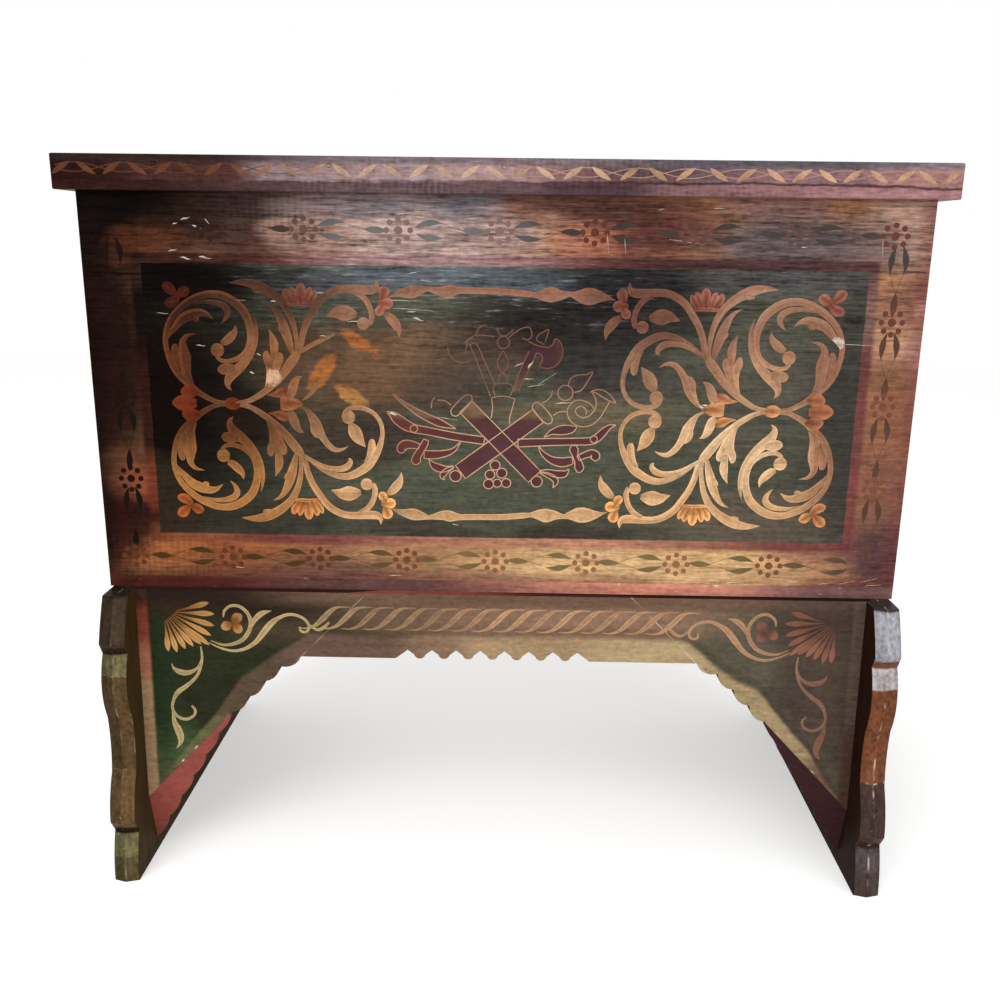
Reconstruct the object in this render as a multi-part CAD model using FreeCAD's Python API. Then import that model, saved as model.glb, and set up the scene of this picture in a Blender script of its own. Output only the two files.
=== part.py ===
"""Painted dowry chest: a boarded case with a hinged lid, on a stand of scroll-cut legs and a mitred apron.

Millimetres, +X to the viewer's right, +Y to the back, +Z up. The origin is on the floor, at the middle
of the footprint of the whole chest.
"""
import FreeCAD, Part
import math
import os
from FreeCAD import Vector

os.makedirs("parts", exist_ok=True)

# Case: outside sizes of the plank box, without its lid
CASE_WIDTH = 1060.0
CASE_DEPTH = 470.0
CASE_HEIGHT = 536.0
WALL_THICKNESS = 22.0
BOTTOM_THICKNESS = 16.0
LOWER_PLANK_TOP = 244.0      # underside of the case up to the joint between the wall planks

# Lid: planks flush with the case, strips of edging hung round them
LID_THICKNESS = 22.0
EDGING_HEIGHT = 42.0
EDGING_THICKNESS = 18.0
EDGING_CLEARANCE = 2.0       # between the hanging edging and the case
LID_SEAT_GAP = 0.3           # between the closed lid and the case's top edge
BATTEN_WIDTH = 45.0
BATTEN_THICKNESS = 20.0
BATTEN_INSET = 190.0         # inner face of an end wall to the batten beside it
BATTEN_END_GAP = 12.0

# Stand: leg boards, seen from the side as a reach in front of the case
STAND_HEIGHT = 402.0
LEG_THICKNESS = 34.0
LEG_INSET = 4.0              # end face of the case to the leg's outer face
LEG_RIDGE = 5.0              # how far the middle of the front edge stands proud of its arrises
TOP_REACH = 39.0
SHOULDER_REACH = 64.0
QUIRK_REACH = 55.0
CHEST_REACH = 66.5
FLANK_REACH = 58.0
WAIST_REACH = 55.5
THIGH_REACH = 60.0
KNEE_REACH = 79.5
ANKLE_REACH = 67.0
FOOT_REACH = 81.0
LEG_HEIGHT_SHARES = {         # heights of the profile's points on the stand
    "top": 1.0, "brow": 0.935, "shoulder": 0.853, "quirk": 0.812, "chest": 0.728, "flank": 0.587,
    "waist": 0.485, "thigh": 0.385, "shin": 0.310, "knee": 0.220, "ankle": 0.174, "instep": 0.085,
    "foot": 0.0,
}

# Apron: a rail mitred between two brackets, leaning forward with the legs
APRON_THICKNESS = 22.0
APRON_TOP_REACH = 13.0       # front of the apron in front of the case, at the top
APRON_RAKE_DEG = 2.1
RAIL_HEIGHT = 92.0
RAIL_TOP_SHARE = 0.168       # of the case's width, from the middle of the rail to the top of a mitre
NOTCH_COUNT = 8
NOTCH_PITCH = 33.0
NOTCH_DEPTH = 12.5
NOTCH_SHIFT = -8.0           # middle of the rail to the middle of the row of notches
FIRST_SCALLOP_RUN = 30.0
FIRST_SCALLOP_DROP = 14.0
SCALLOP_COUNT = 3            # scallops after the first, along the slope
SCALLOP_STEP = 23.0          # each goes this far out and this far down
SCALLOP_SWELL = 7.0
BRACKET_TOE = 22.0           # floor to the lowest point of a bracket
BEVEL_DROP = 76.0            # height of the bevel where the bracket meets the leg
BEVEL_LAND = 2.0             # thickness left under the bevel
BEVEL_SCALLOP_COUNT = 6
BEVEL_SWELL = 4.0
TONGUE_LENGTH = 8.0          # how far apron and back rail are housed in the legs
BLOCK_WIDTH = 90.0
BLOCK_THICKNESS = 20.0
BLOCK_MARGIN = 10.0          # mitre block short of the rail's top and bottom
BACK_RAIL_HEIGHT = 100.0
BACK_RAIL_THICKNESS = 22.0
BACK_RAIL_INSET = 10.0
CLEAT_SIZE = 30.0

# Hinges: leaves on the back of the case and on the back edge of the lid
HINGE_INSET = 190.0          # end of the case to the middle of the hinge beside it
HINGE_WIDTH = 72.0
LEAF_THICKNESS = 2.5
CASE_LEAF_HEIGHT = 60.0
LID_LEAF_HEIGHT = 20.0
KNUCKLE_RADIUS = 4.5
KNUCKLE_COUNT = 3
PIN_RADIUS = 2.4
PIN_CLEARANCE = 0.05         # running fit of the pin in the knuckles
KNUCKLE_GAP = 0.4

# Fasteners: whittled pegs and square wrought nails
PEG_WIDTH = 8.0
PEG_SIDES = 8
PEG_GRIP = 30.0              # how far a peg goes into the second piece
NAIL_WIDTH = 4.0
NAIL_SIDES = 4
NAIL_GRIP = 26.0
NAIL_GRIP_SHARE = 0.55       # how much of a board's thickness a headed nail goes into
NAIL_HEAD_WIDTH = 8.0
NAIL_HEAD_DEPTH = 2.0
FASTENER_FIT = 0.15          # room on each flat of a fastener
JOINT_FIT = 0.2              # room round a tongue in its housing
OVERRUN = 5.0                # how far a cutting tool passes the face it enters

# Places worked out from the sizes
RAIL_TOP_HALF = RAIL_TOP_SHARE * CASE_WIDTH
FRONT_REACH = max(SHOULDER_REACH, CHEST_REACH, KNEE_REACH, FOOT_REACH) + LEG_RIDGE
HINGE_REACH = LID_SEAT_GAP + 2 * KNUCKLE_RADIUS
FRONT_Y = (FRONT_REACH - CASE_DEPTH - HINGE_REACH) / 2
BACK_Y = FRONT_Y + CASE_DEPTH
HALF_WIDTH = CASE_WIDTH / 2
INNER_HALF = HALF_WIDTH - WALL_THICKNESS
CASE_TOP = STAND_HEIGHT + CASE_HEIGHT
WALL_BOTTOM = STAND_HEIGHT + BOTTOM_THICKNESS
WALL_JOINT = STAND_HEIGHT + LOWER_PLANK_TOP
LID_BOTTOM = CASE_TOP + LID_SEAT_GAP
LID_TOP = LID_BOTTOM + LID_THICKNESS
LEG_OUTER = HALF_WIDTH - LEG_INSET
LEG_INNER = LEG_OUTER - LEG_THICKNESS

X_AXIS = Vector(1, 0, 0)
Y_AXIS = Vector(0, 1, 0)
Z_AXIS = Vector(0, 0, 1)
SIDES = (("left", -1), ("right", 1))

parts = {}


def board(x_limits, y_limits, z_limits):
    """A plank between two limits on each axis, given in either order."""
    low = Vector(min(x_limits), min(y_limits), min(z_limits))
    high = Vector(max(x_limits), max(y_limits), max(z_limits))
    size = high - low
    return Part.makeBox(size.x, size.y, size.z, low)


def prism(points, depth):
    """A flat outline of points or edges, closed and extruded by a vector."""
    if isinstance(points[0], Vector):
        edges = Part.makePolygon(points + points[:1])
    else:
        edges = Part.Wire(points)
    return Part.Face(edges).extrude(depth)


def mirrored(shape, side):
    """The shape as built for the right, or its mirror image for the left."""
    if side > 0:
        return shape
    return shape.mirror(Vector(0, 0, 0), X_AXIS)


def bore(names, tool):
    """Cut one tool out of each named piece."""
    for name in names:
        parts[name] = parts[name].cut(tool)


def rod(start, direction, length, width, sides):
    """A straight rod with flat sides, its width measured across the flats."""
    radius = width / 2 / math.cos(math.pi / sides)
    across = Z_AXIS if direction.z == 0 else X_AXIS
    other = direction.cross(across)
    turns = [2 * math.pi * (index + 1 / 2) / sides for index in range(sides)]
    points = [start + across * (radius * math.cos(turn)) + other * (radius * math.sin(turn))
              for turn in turns]
    return prism(points, direction * length)


def peg(start, direction, length, names):
    """A whittled peg driven in flush at start, with its hole cut in the named pieces."""
    room = 2 * FASTENER_FIT
    bore(names, rod(start - direction * OVERRUN, direction, length + OVERRUN, PEG_WIDTH + room, PEG_SIDES))
    return rod(start, direction, length, PEG_WIDTH, PEG_SIDES)


def sprig(start, direction, length, names):
    """A headless square nail driven in flush at start, with its hole cut in the named pieces."""
    room = 2 * FASTENER_FIT
    bore(names, rod(start - direction * OVERRUN, direction, length + OVERRUN, NAIL_WIDTH + room, NAIL_SIDES))
    return rod(start, direction, length, NAIL_WIDTH, NAIL_SIDES)


def nail(start, direction, length, names):
    """A square nail with its head let in flush at start, with its hole cut in the named pieces."""
    def form(room, outside):
        first = start - direction * outside
        shank = rod(start, direction, length, NAIL_WIDTH + room, NAIL_SIDES)
        head = rod(first, direction, NAIL_HEAD_DEPTH + outside, NAIL_HEAD_WIDTH + room, NAIL_SIDES)
        return shank.fuse(head)
    bore(names, form(2 * FASTENER_FIT, OVERRUN))
    return form(0, 0)


def spread(low, high, count):
    """Places of count fasteners, with half a step clear at both ends."""
    step = (high - low) / count
    return [low + step * (index + 1 / 2) for index in range(count)]


def build_case():
    """Front and back cover the ends of the end planks, and the bottom planks are nailed on from below."""
    courses = (("lower", WALL_BOTTOM, WALL_JOINT), ("upper", WALL_JOINT, CASE_TOP))
    for course, low, high in courses:
        span = (-HALF_WIDTH, HALF_WIDTH)
        parts[f"front_{course}_plank"] = board(span, (FRONT_Y, FRONT_Y + WALL_THICKNESS), (low, high))
        parts[f"back_{course}_plank"] = board(span, (BACK_Y - WALL_THICKNESS, BACK_Y), (low, high))
        for side_name, side in SIDES:
            end = board((side * INNER_HALF, side * HALF_WIDTH),
                        (FRONT_Y + WALL_THICKNESS, BACK_Y - WALL_THICKNESS), (low, high))
            parts[f"{side_name}_end_{course}_plank"] = end
    middle_y = (FRONT_Y + BACK_Y) / 2
    for name, near, far in (("front", FRONT_Y, middle_y), ("back", middle_y, BACK_Y)):
        parts[f"bottom_{name}_plank"] = board((-HALF_WIDTH, HALF_WIDTH), (near, far),
                                              (STAND_HEIGHT, WALL_BOTTOM))


def peg_corners(pegs_per_plank=2):
    """Pegs from the front and the back into the end grain of each end plank."""
    pegs = []
    peg_x = HALF_WIDTH - WALL_THICKNESS / 2
    for course, low, high in (("lower", WALL_BOTTOM, WALL_JOINT), ("upper", WALL_JOINT, CASE_TOP)):
        for face, start_y, direction in (("front", FRONT_Y, Y_AXIS), ("back", BACK_Y, -Y_AXIS)):
            for side_name, side in SIDES:
                for height in spread(low, high, pegs_per_plank):
                    names = (f"{face}_{course}_plank", f"{side_name}_end_{course}_plank")
                    start = Vector(side * peg_x, start_y, height)
                    pegs.append(peg(start, direction, WALL_THICKNESS + PEG_GRIP, names))
    parts["corner_pegs"] = Part.makeCompound(pegs)


def nail_bottom(nails_along=5, nails_across=2):
    """Nails up through the bottom planks into the lower edges of the four walls."""
    nails = []
    length = BOTTOM_THICKNESS + NAIL_GRIP
    for face, nail_y in (("front", FRONT_Y + WALL_THICKNESS / 2), ("back", BACK_Y - WALL_THICKNESS / 2)):
        for nail_x in spread(-INNER_HALF, INNER_HALF, nails_along):
            names = (f"bottom_{face}_plank", f"{face}_lower_plank")
            nails.append(sprig(Vector(nail_x, nail_y, STAND_HEIGHT), Z_AXIS, length, names))
    middle_y = (FRONT_Y + BACK_Y) / 2
    nail_x = HALF_WIDTH - WALL_THICKNESS / 2
    for side_name, side in SIDES:
        for face, near, far in (("front", FRONT_Y + WALL_THICKNESS, middle_y),
                                ("back", middle_y, BACK_Y - WALL_THICKNESS)):
            for nail_y in spread(near, far, nails_across):
                names = (f"bottom_{face}_plank", f"{side_name}_end_lower_plank")
                start = Vector(side * nail_x, nail_y, STAND_HEIGHT)
                nails.append(sprig(start, Z_AXIS, length, names))
    parts["bottom_nails"] = Part.makeCompound(nails)


def build_lid():
    """Two planks across the case, held by battens, with edging mitred at the front corners."""
    half = HALF_WIDTH + EDGING_CLEARANCE
    outer = half + EDGING_THICKNESS
    near = FRONT_Y - EDGING_CLEARANCE
    middle_y = (near + BACK_Y) / 2
    levels = (LID_BOTTOM, LID_TOP)
    parts["lid_front_plank"] = board((-half, half), (near, middle_y), levels)
    parts["lid_back_plank"] = board((-half, half), (middle_y, BACK_Y), levels)

    drop = Vector(0, 0, EDGING_HEIGHT)
    low = LID_TOP - EDGING_HEIGHT
    front_y = near - EDGING_THICKNESS
    parts["lid_front_edging"] = prism([Vector(-outer, front_y, low), Vector(outer, front_y, low),
                                       Vector(half, near, low), Vector(-half, near, low)], drop)
    for side_name, side in SIDES:
        strip = prism([Vector(outer, front_y, low), Vector(outer, BACK_Y, low),
                       Vector(half, BACK_Y, low), Vector(half, near, low)], drop)
        parts[f"lid_{side_name}_edging"] = mirrored(strip, side)
        batten_outer = side * (INNER_HALF - BATTEN_INSET)
        batten_inner = batten_outer - side * BATTEN_WIDTH
        ends = (FRONT_Y + WALL_THICKNESS + BATTEN_END_GAP, BACK_Y - WALL_THICKNESS - BATTEN_END_GAP)
        parts[f"lid_{side_name}_batten"] = board((batten_inner, batten_outer), ends,
                                                 (LID_BOTTOM - BATTEN_THICKNESS, LID_BOTTOM))


def fasten_lid(batten_nails=2, front_sprigs=5, side_sprigs=2):
    """Nails up through the battens, and sprigs through the edging into the planks' edges."""
    clenches = []
    length = BATTEN_THICKNESS + LID_THICKNESS * NAIL_GRIP_SHARE
    near = FRONT_Y - EDGING_CLEARANCE
    middle_y = (near + BACK_Y) / 2
    batten_x = INNER_HALF - BATTEN_INSET - BATTEN_WIDTH / 2
    batten_near = FRONT_Y + WALL_THICKNESS + BATTEN_END_GAP
    batten_far = BACK_Y - WALL_THICKNESS - BATTEN_END_GAP
    for side_name, side in SIDES:
        for plank, first, last in (("lid_front_plank", batten_near, middle_y),
                                   ("lid_back_plank", middle_y, batten_far)):
            for nail_y in spread(first, last, batten_nails):
                start = Vector(side * batten_x, nail_y, LID_BOTTOM - BATTEN_THICKNESS)
                names = (f"lid_{side_name}_batten", plank)
                clenches.append(nail(start, Z_AXIS, length, names))
    parts["batten_nails"] = Part.makeCompound(clenches)

    nails = []
    length = EDGING_THICKNESS + NAIL_GRIP
    nail_z = LID_BOTTOM + LID_THICKNESS / 2
    outer = HALF_WIDTH + EDGING_CLEARANCE + EDGING_THICKNESS
    for nail_x in spread(-HALF_WIDTH, HALF_WIDTH, front_sprigs):
        start = Vector(nail_x, near - EDGING_THICKNESS, nail_z)
        nails.append(sprig(start, Y_AXIS, length, ("lid_front_edging", "lid_front_plank")))
    for side_name, side in SIDES:
        for face, first, last in (("front", near, middle_y), ("back", middle_y, BACK_Y)):
            for nail_y in spread(first, last, side_sprigs):
                start = Vector(side * outer, nail_y, nail_z)
                names = (f"lid_{side_name}_edging", f"lid_{face}_plank")
                nails.append(sprig(start, X_AXIS * -side, length, names))
    parts["edging_sprigs"] = Part.makeCompound(nails)


def leg_profile():
    """Edges of the leg's side view at x = 0: a flat top, a straight back, a scrolled front.

    A front point is a reach in front of the case at its height on the stand. Stretches of three points
    are arcs, and stretches of two are straight.
    """
    reaches = {
        "top": TOP_REACH, "brow": (TOP_REACH + SHOULDER_REACH) / 2, "shoulder": SHOULDER_REACH,
        "quirk": QUIRK_REACH, "chest": CHEST_REACH, "flank": FLANK_REACH, "waist": WAIST_REACH,
        "thigh": THIGH_REACH, "shin": (THIGH_REACH + 2 * KNEE_REACH) / 3, "knee": KNEE_REACH,
        "ankle": ANKLE_REACH, "instep": (ANKLE_REACH + 3 * FOOT_REACH) / 4, "foot": FOOT_REACH,
    }
    stretches = (("top", "brow", "shoulder"), ("shoulder", "quirk"), ("quirk", "chest", "flank"),
                 ("flank", "waist", "thigh"), ("thigh", "shin", "knee"), ("knee", "ankle"),
                 ("ankle", "instep", "foot"))

    def place(name):
        return Vector(0, FRONT_Y - reaches[name], STAND_HEIGHT * LEG_HEIGHT_SHARES[name])

    edges = []
    for names in stretches:
        points = [place(name) for name in names]
        if len(points) == 2:
            edges.append(Part.makeLine(*points))
        else:
            edges.append(Part.Arc(*points).toShape())
    behind = BACK_Y + OVERRUN + LEG_RIDGE
    corners = [place("foot"), Vector(0, behind, 0), Vector(0, behind, STAND_HEIGHT), place("top")]
    edges += [Part.makeLine(first, last) for first, last in zip(corners, corners[1:])]
    return edges


def build_legs():
    """Each leg is two half boards swept from its side faces to the ridge, joined and cut square behind."""
    half = LEG_THICKNESS / 2
    outline = leg_profile()
    halves = []
    for face_x, step in ((LEG_OUTER, -half), (LEG_INNER, half)):
        side_face = prism(outline, Vector(step, -LEG_RIDGE, 0))
        side_face.translate(Vector(face_x, 0, 0))
        halves.append(side_face)
    behind = board((LEG_INNER - OVERRUN, LEG_OUTER + OVERRUN), (BACK_Y, BACK_Y + OVERRUN * 3 + LEG_RIDGE),
                   (-OVERRUN, STAND_HEIGHT + OVERRUN))
    leg = halves[0].fuse(halves[1]).cut(behind).removeSplitter()
    for side_name, side in SIDES:
        parts[f"{side_name}_leg_board"] = mirrored(leg, side)


def raked(shape):
    """Lean a piece of the apron forward about its top front edge, and trim it level under the case."""
    leaned = shape.copy()
    leaned.rotate(Vector(0, FRONT_Y - APRON_TOP_REACH, STAND_HEIGHT), X_AXIS, -APRON_RAKE_DEG)
    above = board((-HALF_WIDTH, HALF_WIDTH), (FRONT_Y - FRONT_REACH, BACK_Y),
                  (STAND_HEIGHT, STAND_HEIGHT + OVERRUN * 3))
    return leaned.cut(above)


def apron_point(x, below_top):
    """A point of the upright apron's front face, measured down from the top of the stand."""
    return Vector(x, FRONT_Y - APRON_TOP_REACH, STAND_HEIGHT - below_top)


def lobe(first, tip, last, shoulder_share=0.55):
    """Edges of one lobe from notch to notch: straight sides with a round tip between them."""
    left = first + (tip - first) * shoulder_share
    right = last + (tip - last) * shoulder_share
    crown = Part.Arc(left, tip, right).toShape()
    return [Part.makeLine(first, left), crown, Part.makeLine(right, last)]


def build_rail():
    """The rail between the mitres, with notches and lobes along the middle of its lower edge."""
    rail_bottom_half = RAIL_TOP_HALF + RAIL_HEIGHT
    above = -OVERRUN
    notch_half = NOTCH_PITCH / 2
    first_notch = NOTCH_SHIFT - NOTCH_PITCH * (NOTCH_COUNT - 1) / 2
    last_notch = first_notch + NOTCH_PITCH * (NOTCH_COUNT - 1)
    start = apron_point(first_notch - notch_half, RAIL_HEIGHT)
    end = apron_point(last_notch + notch_half, RAIL_HEIGHT)
    notches = [apron_point(first_notch + NOTCH_PITCH * index, RAIL_HEIGHT - NOTCH_DEPTH)
               for index in range(NOTCH_COUNT)]
    edges = [Part.makeLine(apron_point(-rail_bottom_half, RAIL_HEIGHT), start),
             Part.makeLine(start, notches[0])]
    for first, last in zip(notches, notches[1:]):
        tip = apron_point((first.x + last.x) / 2, RAIL_HEIGHT)
        edges += lobe(first, tip, last)
    top_half = RAIL_TOP_HALF + above
    corners = [notches[-1], end, apron_point(rail_bottom_half, RAIL_HEIGHT), apron_point(top_half, above),
               apron_point(-top_half, above), apron_point(-rail_bottom_half, RAIL_HEIGHT)]
    edges += [Part.makeLine(first, last) for first, last in zip(corners, corners[1:])]
    parts["apron_rail"] = raked(prism(edges, Y_AXIS * APRON_THICKNESS))


def build_brackets():
    """Corner brackets: mitred to the rail, scalloped to the toe, bevelled below, tongued into the leg."""
    above = -OVERRUN
    end_x = LEG_INNER - JOINT_FIT
    corner = apron_point(RAIL_TOP_HALF + RAIL_HEIGHT, RAIL_HEIGHT)
    cusps = [corner, corner + Vector(FIRST_SCALLOP_RUN, 0, -FIRST_SCALLOP_DROP)]
    for _ in range(SCALLOP_COUNT):
        cusps.append(cusps[-1] + Vector(SCALLOP_STEP, 0, -SCALLOP_STEP))
    swells = [SCALLOP_SWELL] * (SCALLOP_COUNT + 1) + [BEVEL_SWELL] * BEVEL_SCALLOP_COUNT
    bevel_start = cusps[-1]
    toe = apron_point(end_x, STAND_HEIGHT - BRACKET_TOE)
    cusps += [bevel_start + (toe - bevel_start) * ((index + 1) / BEVEL_SCALLOP_COUNT)
              for index in range(BEVEL_SCALLOP_COUNT)]
    edges = []
    for first, last, swell in zip(cusps, cusps[1:], swells):
        chord = last - first
        outward = Vector(chord.z, 0, -chord.x).normalize()
        crown = (first + last) / 2 + outward * swell
        edges.append(Part.Arc(first, crown, last).toShape())
    corners = [toe, apron_point(end_x, above), apron_point(RAIL_TOP_HALF + above, above), corner]
    edges += [Part.makeLine(first, last) for first, last in zip(corners, corners[1:])]
    bracket = prism(edges, Y_AXIS * APRON_THICKNESS)

    # The bevel is one sloping cut from the last scallop to the leg, as deep as the board at the toe
    arris_end = toe + Vector(0, 0, BEVEL_DROP)
    along = arris_end - bevel_start
    deep = APRON_THICKNESS - BEVEL_LAND
    proud = BEVEL_DROP * OVERRUN / deep
    section = [arris_end + Vector(0, -OVERRUN, proud), arris_end + Vector(0, deep, -BEVEL_DROP),
               arris_end + Vector(0, deep, -BEVEL_DROP - OVERRUN),
               arris_end + Vector(0, -OVERRUN, -BEVEL_DROP - OVERRUN)]
    lengthened = along + Vector(along).normalize() * OVERRUN
    wedge = prism(section, -lengthened)
    wedge.translate(lengthened - along)
    bracket = bracket.cut(wedge)

    def tongue(room):
        front = FRONT_Y - APRON_TOP_REACH
        return board((end_x, end_x + JOINT_FIT + TONGUE_LENGTH + room),
                     (front - room, front + APRON_THICKNESS + room),
                     (STAND_HEIGHT + OVERRUN, arris_end.z - room))

    shape = raked(bracket.fuse(tongue(0)).removeSplitter())
    housing = tongue(JOINT_FIT)
    housing.rotate(Vector(0, FRONT_Y - APRON_TOP_REACH, STAND_HEIGHT), X_AXIS, -APRON_RAKE_DEG)
    for side_name, side in SIDES:
        parts[f"apron_{side_name}_bracket"] = mirrored(shape, side)
        bore((f"{side_name}_leg_board",), mirrored(housing, side))


def build_mitre_blocks():
    """A glue block behind each mitre, leaning with the apron and bearing on both boards."""
    middle_x = RAIL_TOP_HALF + RAIL_HEIGHT / 2
    near = FRONT_Y - APRON_TOP_REACH + APRON_THICKNESS
    block = board((middle_x - BLOCK_WIDTH / 2, middle_x + BLOCK_WIDTH / 2), (near, near + BLOCK_THICKNESS),
                  (STAND_HEIGHT - BLOCK_MARGIN, STAND_HEIGHT - RAIL_HEIGHT + BLOCK_MARGIN))
    leaned = raked(block)
    for side_name, side in SIDES:
        parts[f"{side_name}_mitre_block"] = mirrored(leaned, side)


def build_back_rail():
    """A plain rail at the back, housed in both legs."""
    far = BACK_Y - BACK_RAIL_INSET
    near = far - BACK_RAIL_THICKNESS
    low = STAND_HEIGHT - BACK_RAIL_HEIGHT
    half = LEG_INNER + TONGUE_LENGTH
    parts["back_rail"] = board((-half, half), (near, far), (low, STAND_HEIGHT))
    for side_name, side in SIDES:
        housing = board((side * (LEG_INNER - OVERRUN), side * (half + JOINT_FIT)),
                        (near - JOINT_FIT, far + JOINT_FIT), (low - JOINT_FIT, STAND_HEIGHT + OVERRUN))
        bore((f"{side_name}_leg_board",), housing)


def build_cleats(nails_per_cleat=3):
    """Battens nailed inside the legs, with nails up through them that hold the case down."""
    near = FRONT_Y - APRON_TOP_REACH + APRON_THICKNESS + JOINT_FIT
    far = BACK_Y - BACK_RAIL_INSET - BACK_RAIL_THICKNESS - JOINT_FIT
    middle_y = (FRONT_Y + BACK_Y) / 2
    low = STAND_HEIGHT - CLEAT_SIZE
    inner = LEG_INNER - CLEAT_SIZE
    sideways = []
    upward = []
    for side_name, side in SIDES:
        cleat = f"{side_name}_cleat"
        parts[cleat] = board((side * inner, side * LEG_INNER), (near, far), (low, STAND_HEIGHT))
        for nail_y in spread(near, far, nails_per_cleat):
            start = Vector(side * inner, nail_y, STAND_HEIGHT - CLEAT_SIZE / 2)
            names = (cleat, f"{side_name}_leg_board")
            sideways.append(nail(start, X_AXIS * side, CLEAT_SIZE + LEG_THICKNESS * NAIL_GRIP_SHARE, names))
        quarter = (far - near) / 4
        for face, nail_y in (("front", middle_y - quarter), ("back", middle_y + quarter)):
            start = Vector(side * (inner + CLEAT_SIZE / 2), nail_y, low)
            names = (cleat, f"bottom_{face}_plank")
            upward.append(nail(start, Z_AXIS, CLEAT_SIZE + BOTTOM_THICKNESS * NAIL_GRIP_SHARE, names))
    parts["cleat_nails"] = Part.makeCompound(sideways)
    parts["hold_down_nails"] = Part.makeCompound(upward)


def build_hinges():
    """Butt hinges on the back: outer knuckles on the case, the middle one on the lid, a pin through all."""
    axis_y = BACK_Y + LID_SEAT_GAP + KNUCKLE_RADIUS
    axis_z = CASE_TOP + LID_SEAT_GAP / 2
    step = HINGE_WIDTH / KNUCKLE_COUNT
    reach = KNUCKLE_RADIUS + KNUCKLE_GAP
    case_nails = []
    lid_nails = []
    for side_name, side in SIDES:
        left = side * (HALF_WIDTH - HINGE_INSET) - HINGE_WIDTH / 2
        right = left + HINGE_WIDTH
        plate_y = (BACK_Y, BACK_Y + LEAF_THICKNESS)
        leaves = {
            "case": board((left, right), plate_y, (axis_z - reach, axis_z - CASE_LEAF_HEIGHT)),
            "lid": board((left, right), plate_y, (axis_z + reach, axis_z + LID_LEAF_HEIGHT)),
        }
        for index in range(KNUCKLE_COUNT):
            owner, outward = (("case", -1), ("lid", 1))[index % 2]
            low = left + step * index + (KNUCKLE_GAP / 2 if index else 0)
            high = left + step * (index + 1) - (KNUCKLE_GAP / 2 if index < KNUCKLE_COUNT - 1 else 0)
            barrel = Part.makeCylinder(KNUCKLE_RADIUS, high - low, Vector(low, axis_y, axis_z), X_AXIS)
            web = board((low, high), plate_y, (axis_z, axis_z + outward * reach))
            leaves[owner] = leaves[owner].fuse([barrel, web])
        pin_start = Vector(left, axis_y, axis_z)
        bore_tool = Part.makeCylinder(PIN_RADIUS + PIN_CLEARANCE, HINGE_WIDTH, pin_start, X_AXIS)
        for owner, leaf in leaves.items():
            parts[f"{side_name}_hinge_{owner}_leaf"] = leaf.cut(bore_tool).removeSplitter()
        parts[f"{side_name}_hinge_pin"] = Part.makeCylinder(PIN_RADIUS, HINGE_WIDTH, pin_start, X_AXIS)

        outside = BACK_Y + LEAF_THICKNESS
        length = LEAF_THICKNESS + WALL_THICKNESS * NAIL_GRIP_SHARE
        case_heights = spread(axis_z - CASE_LEAF_HEIGHT, axis_z - reach, 2)
        lid_height = axis_z + (reach + LID_LEAF_HEIGHT) / 2
        for nail_x in spread(left, right, 2):
            for height in case_heights:
                start = Vector(nail_x, outside, height)
                names = (f"{side_name}_hinge_case_leaf", "back_upper_plank")
                case_nails.append(nail(start, -Y_AXIS, length, names))
            start = Vector(nail_x, outside, lid_height)
            names = (f"{side_name}_hinge_lid_leaf", "lid_back_plank")
            lid_nails.append(nail(start, -Y_AXIS, length, names))
    parts["case_hinge_nails"] = Part.makeCompound(case_nails)
    parts["lid_hinge_nails"] = Part.makeCompound(lid_nails)


build_legs()
build_rail()
build_brackets()
build_mitre_blocks()
build_back_rail()
build_case()
build_cleats()
peg_corners()
nail_bottom()
build_lid()
fasten_lid()
build_hinges()

for node, shape in parts.items():
    shape.exportStep(f"parts/{node}.step")
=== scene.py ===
"""Painted dowry chest: finish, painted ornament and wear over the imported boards, in a plain studio.

Every section is one piece or one group of like pieces, in the order in which the chest is put together.
Meshes are in metres in the frame of the boards. Painted ornament is drawn in millimetres on its panel.
"""
import bpy
import numpy as np
from mathutils import Matrix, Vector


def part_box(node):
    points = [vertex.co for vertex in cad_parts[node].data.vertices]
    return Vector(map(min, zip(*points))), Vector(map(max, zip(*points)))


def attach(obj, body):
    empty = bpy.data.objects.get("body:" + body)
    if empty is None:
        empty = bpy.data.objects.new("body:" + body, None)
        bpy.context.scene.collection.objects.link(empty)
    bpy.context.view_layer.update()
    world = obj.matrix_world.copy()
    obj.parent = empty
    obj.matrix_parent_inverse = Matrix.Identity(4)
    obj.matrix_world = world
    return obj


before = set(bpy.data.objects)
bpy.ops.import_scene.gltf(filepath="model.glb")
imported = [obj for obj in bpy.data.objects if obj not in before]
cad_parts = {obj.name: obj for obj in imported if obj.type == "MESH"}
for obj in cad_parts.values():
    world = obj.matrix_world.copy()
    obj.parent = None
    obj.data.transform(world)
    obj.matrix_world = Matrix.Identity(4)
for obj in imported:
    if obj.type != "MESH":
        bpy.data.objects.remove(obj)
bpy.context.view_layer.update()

# Leg boards
# Two scroll-cut boards carry the chest. Their ridged front edge is painted in blocks of colour,
# which wear and hard knocks have taken off along the ridge and on the edges of the steps. Painted light
# is in it too: glare on the grey blocks of the right leg, shade on the left leg and the inner faces, and
# glints among the pale specks.


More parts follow.
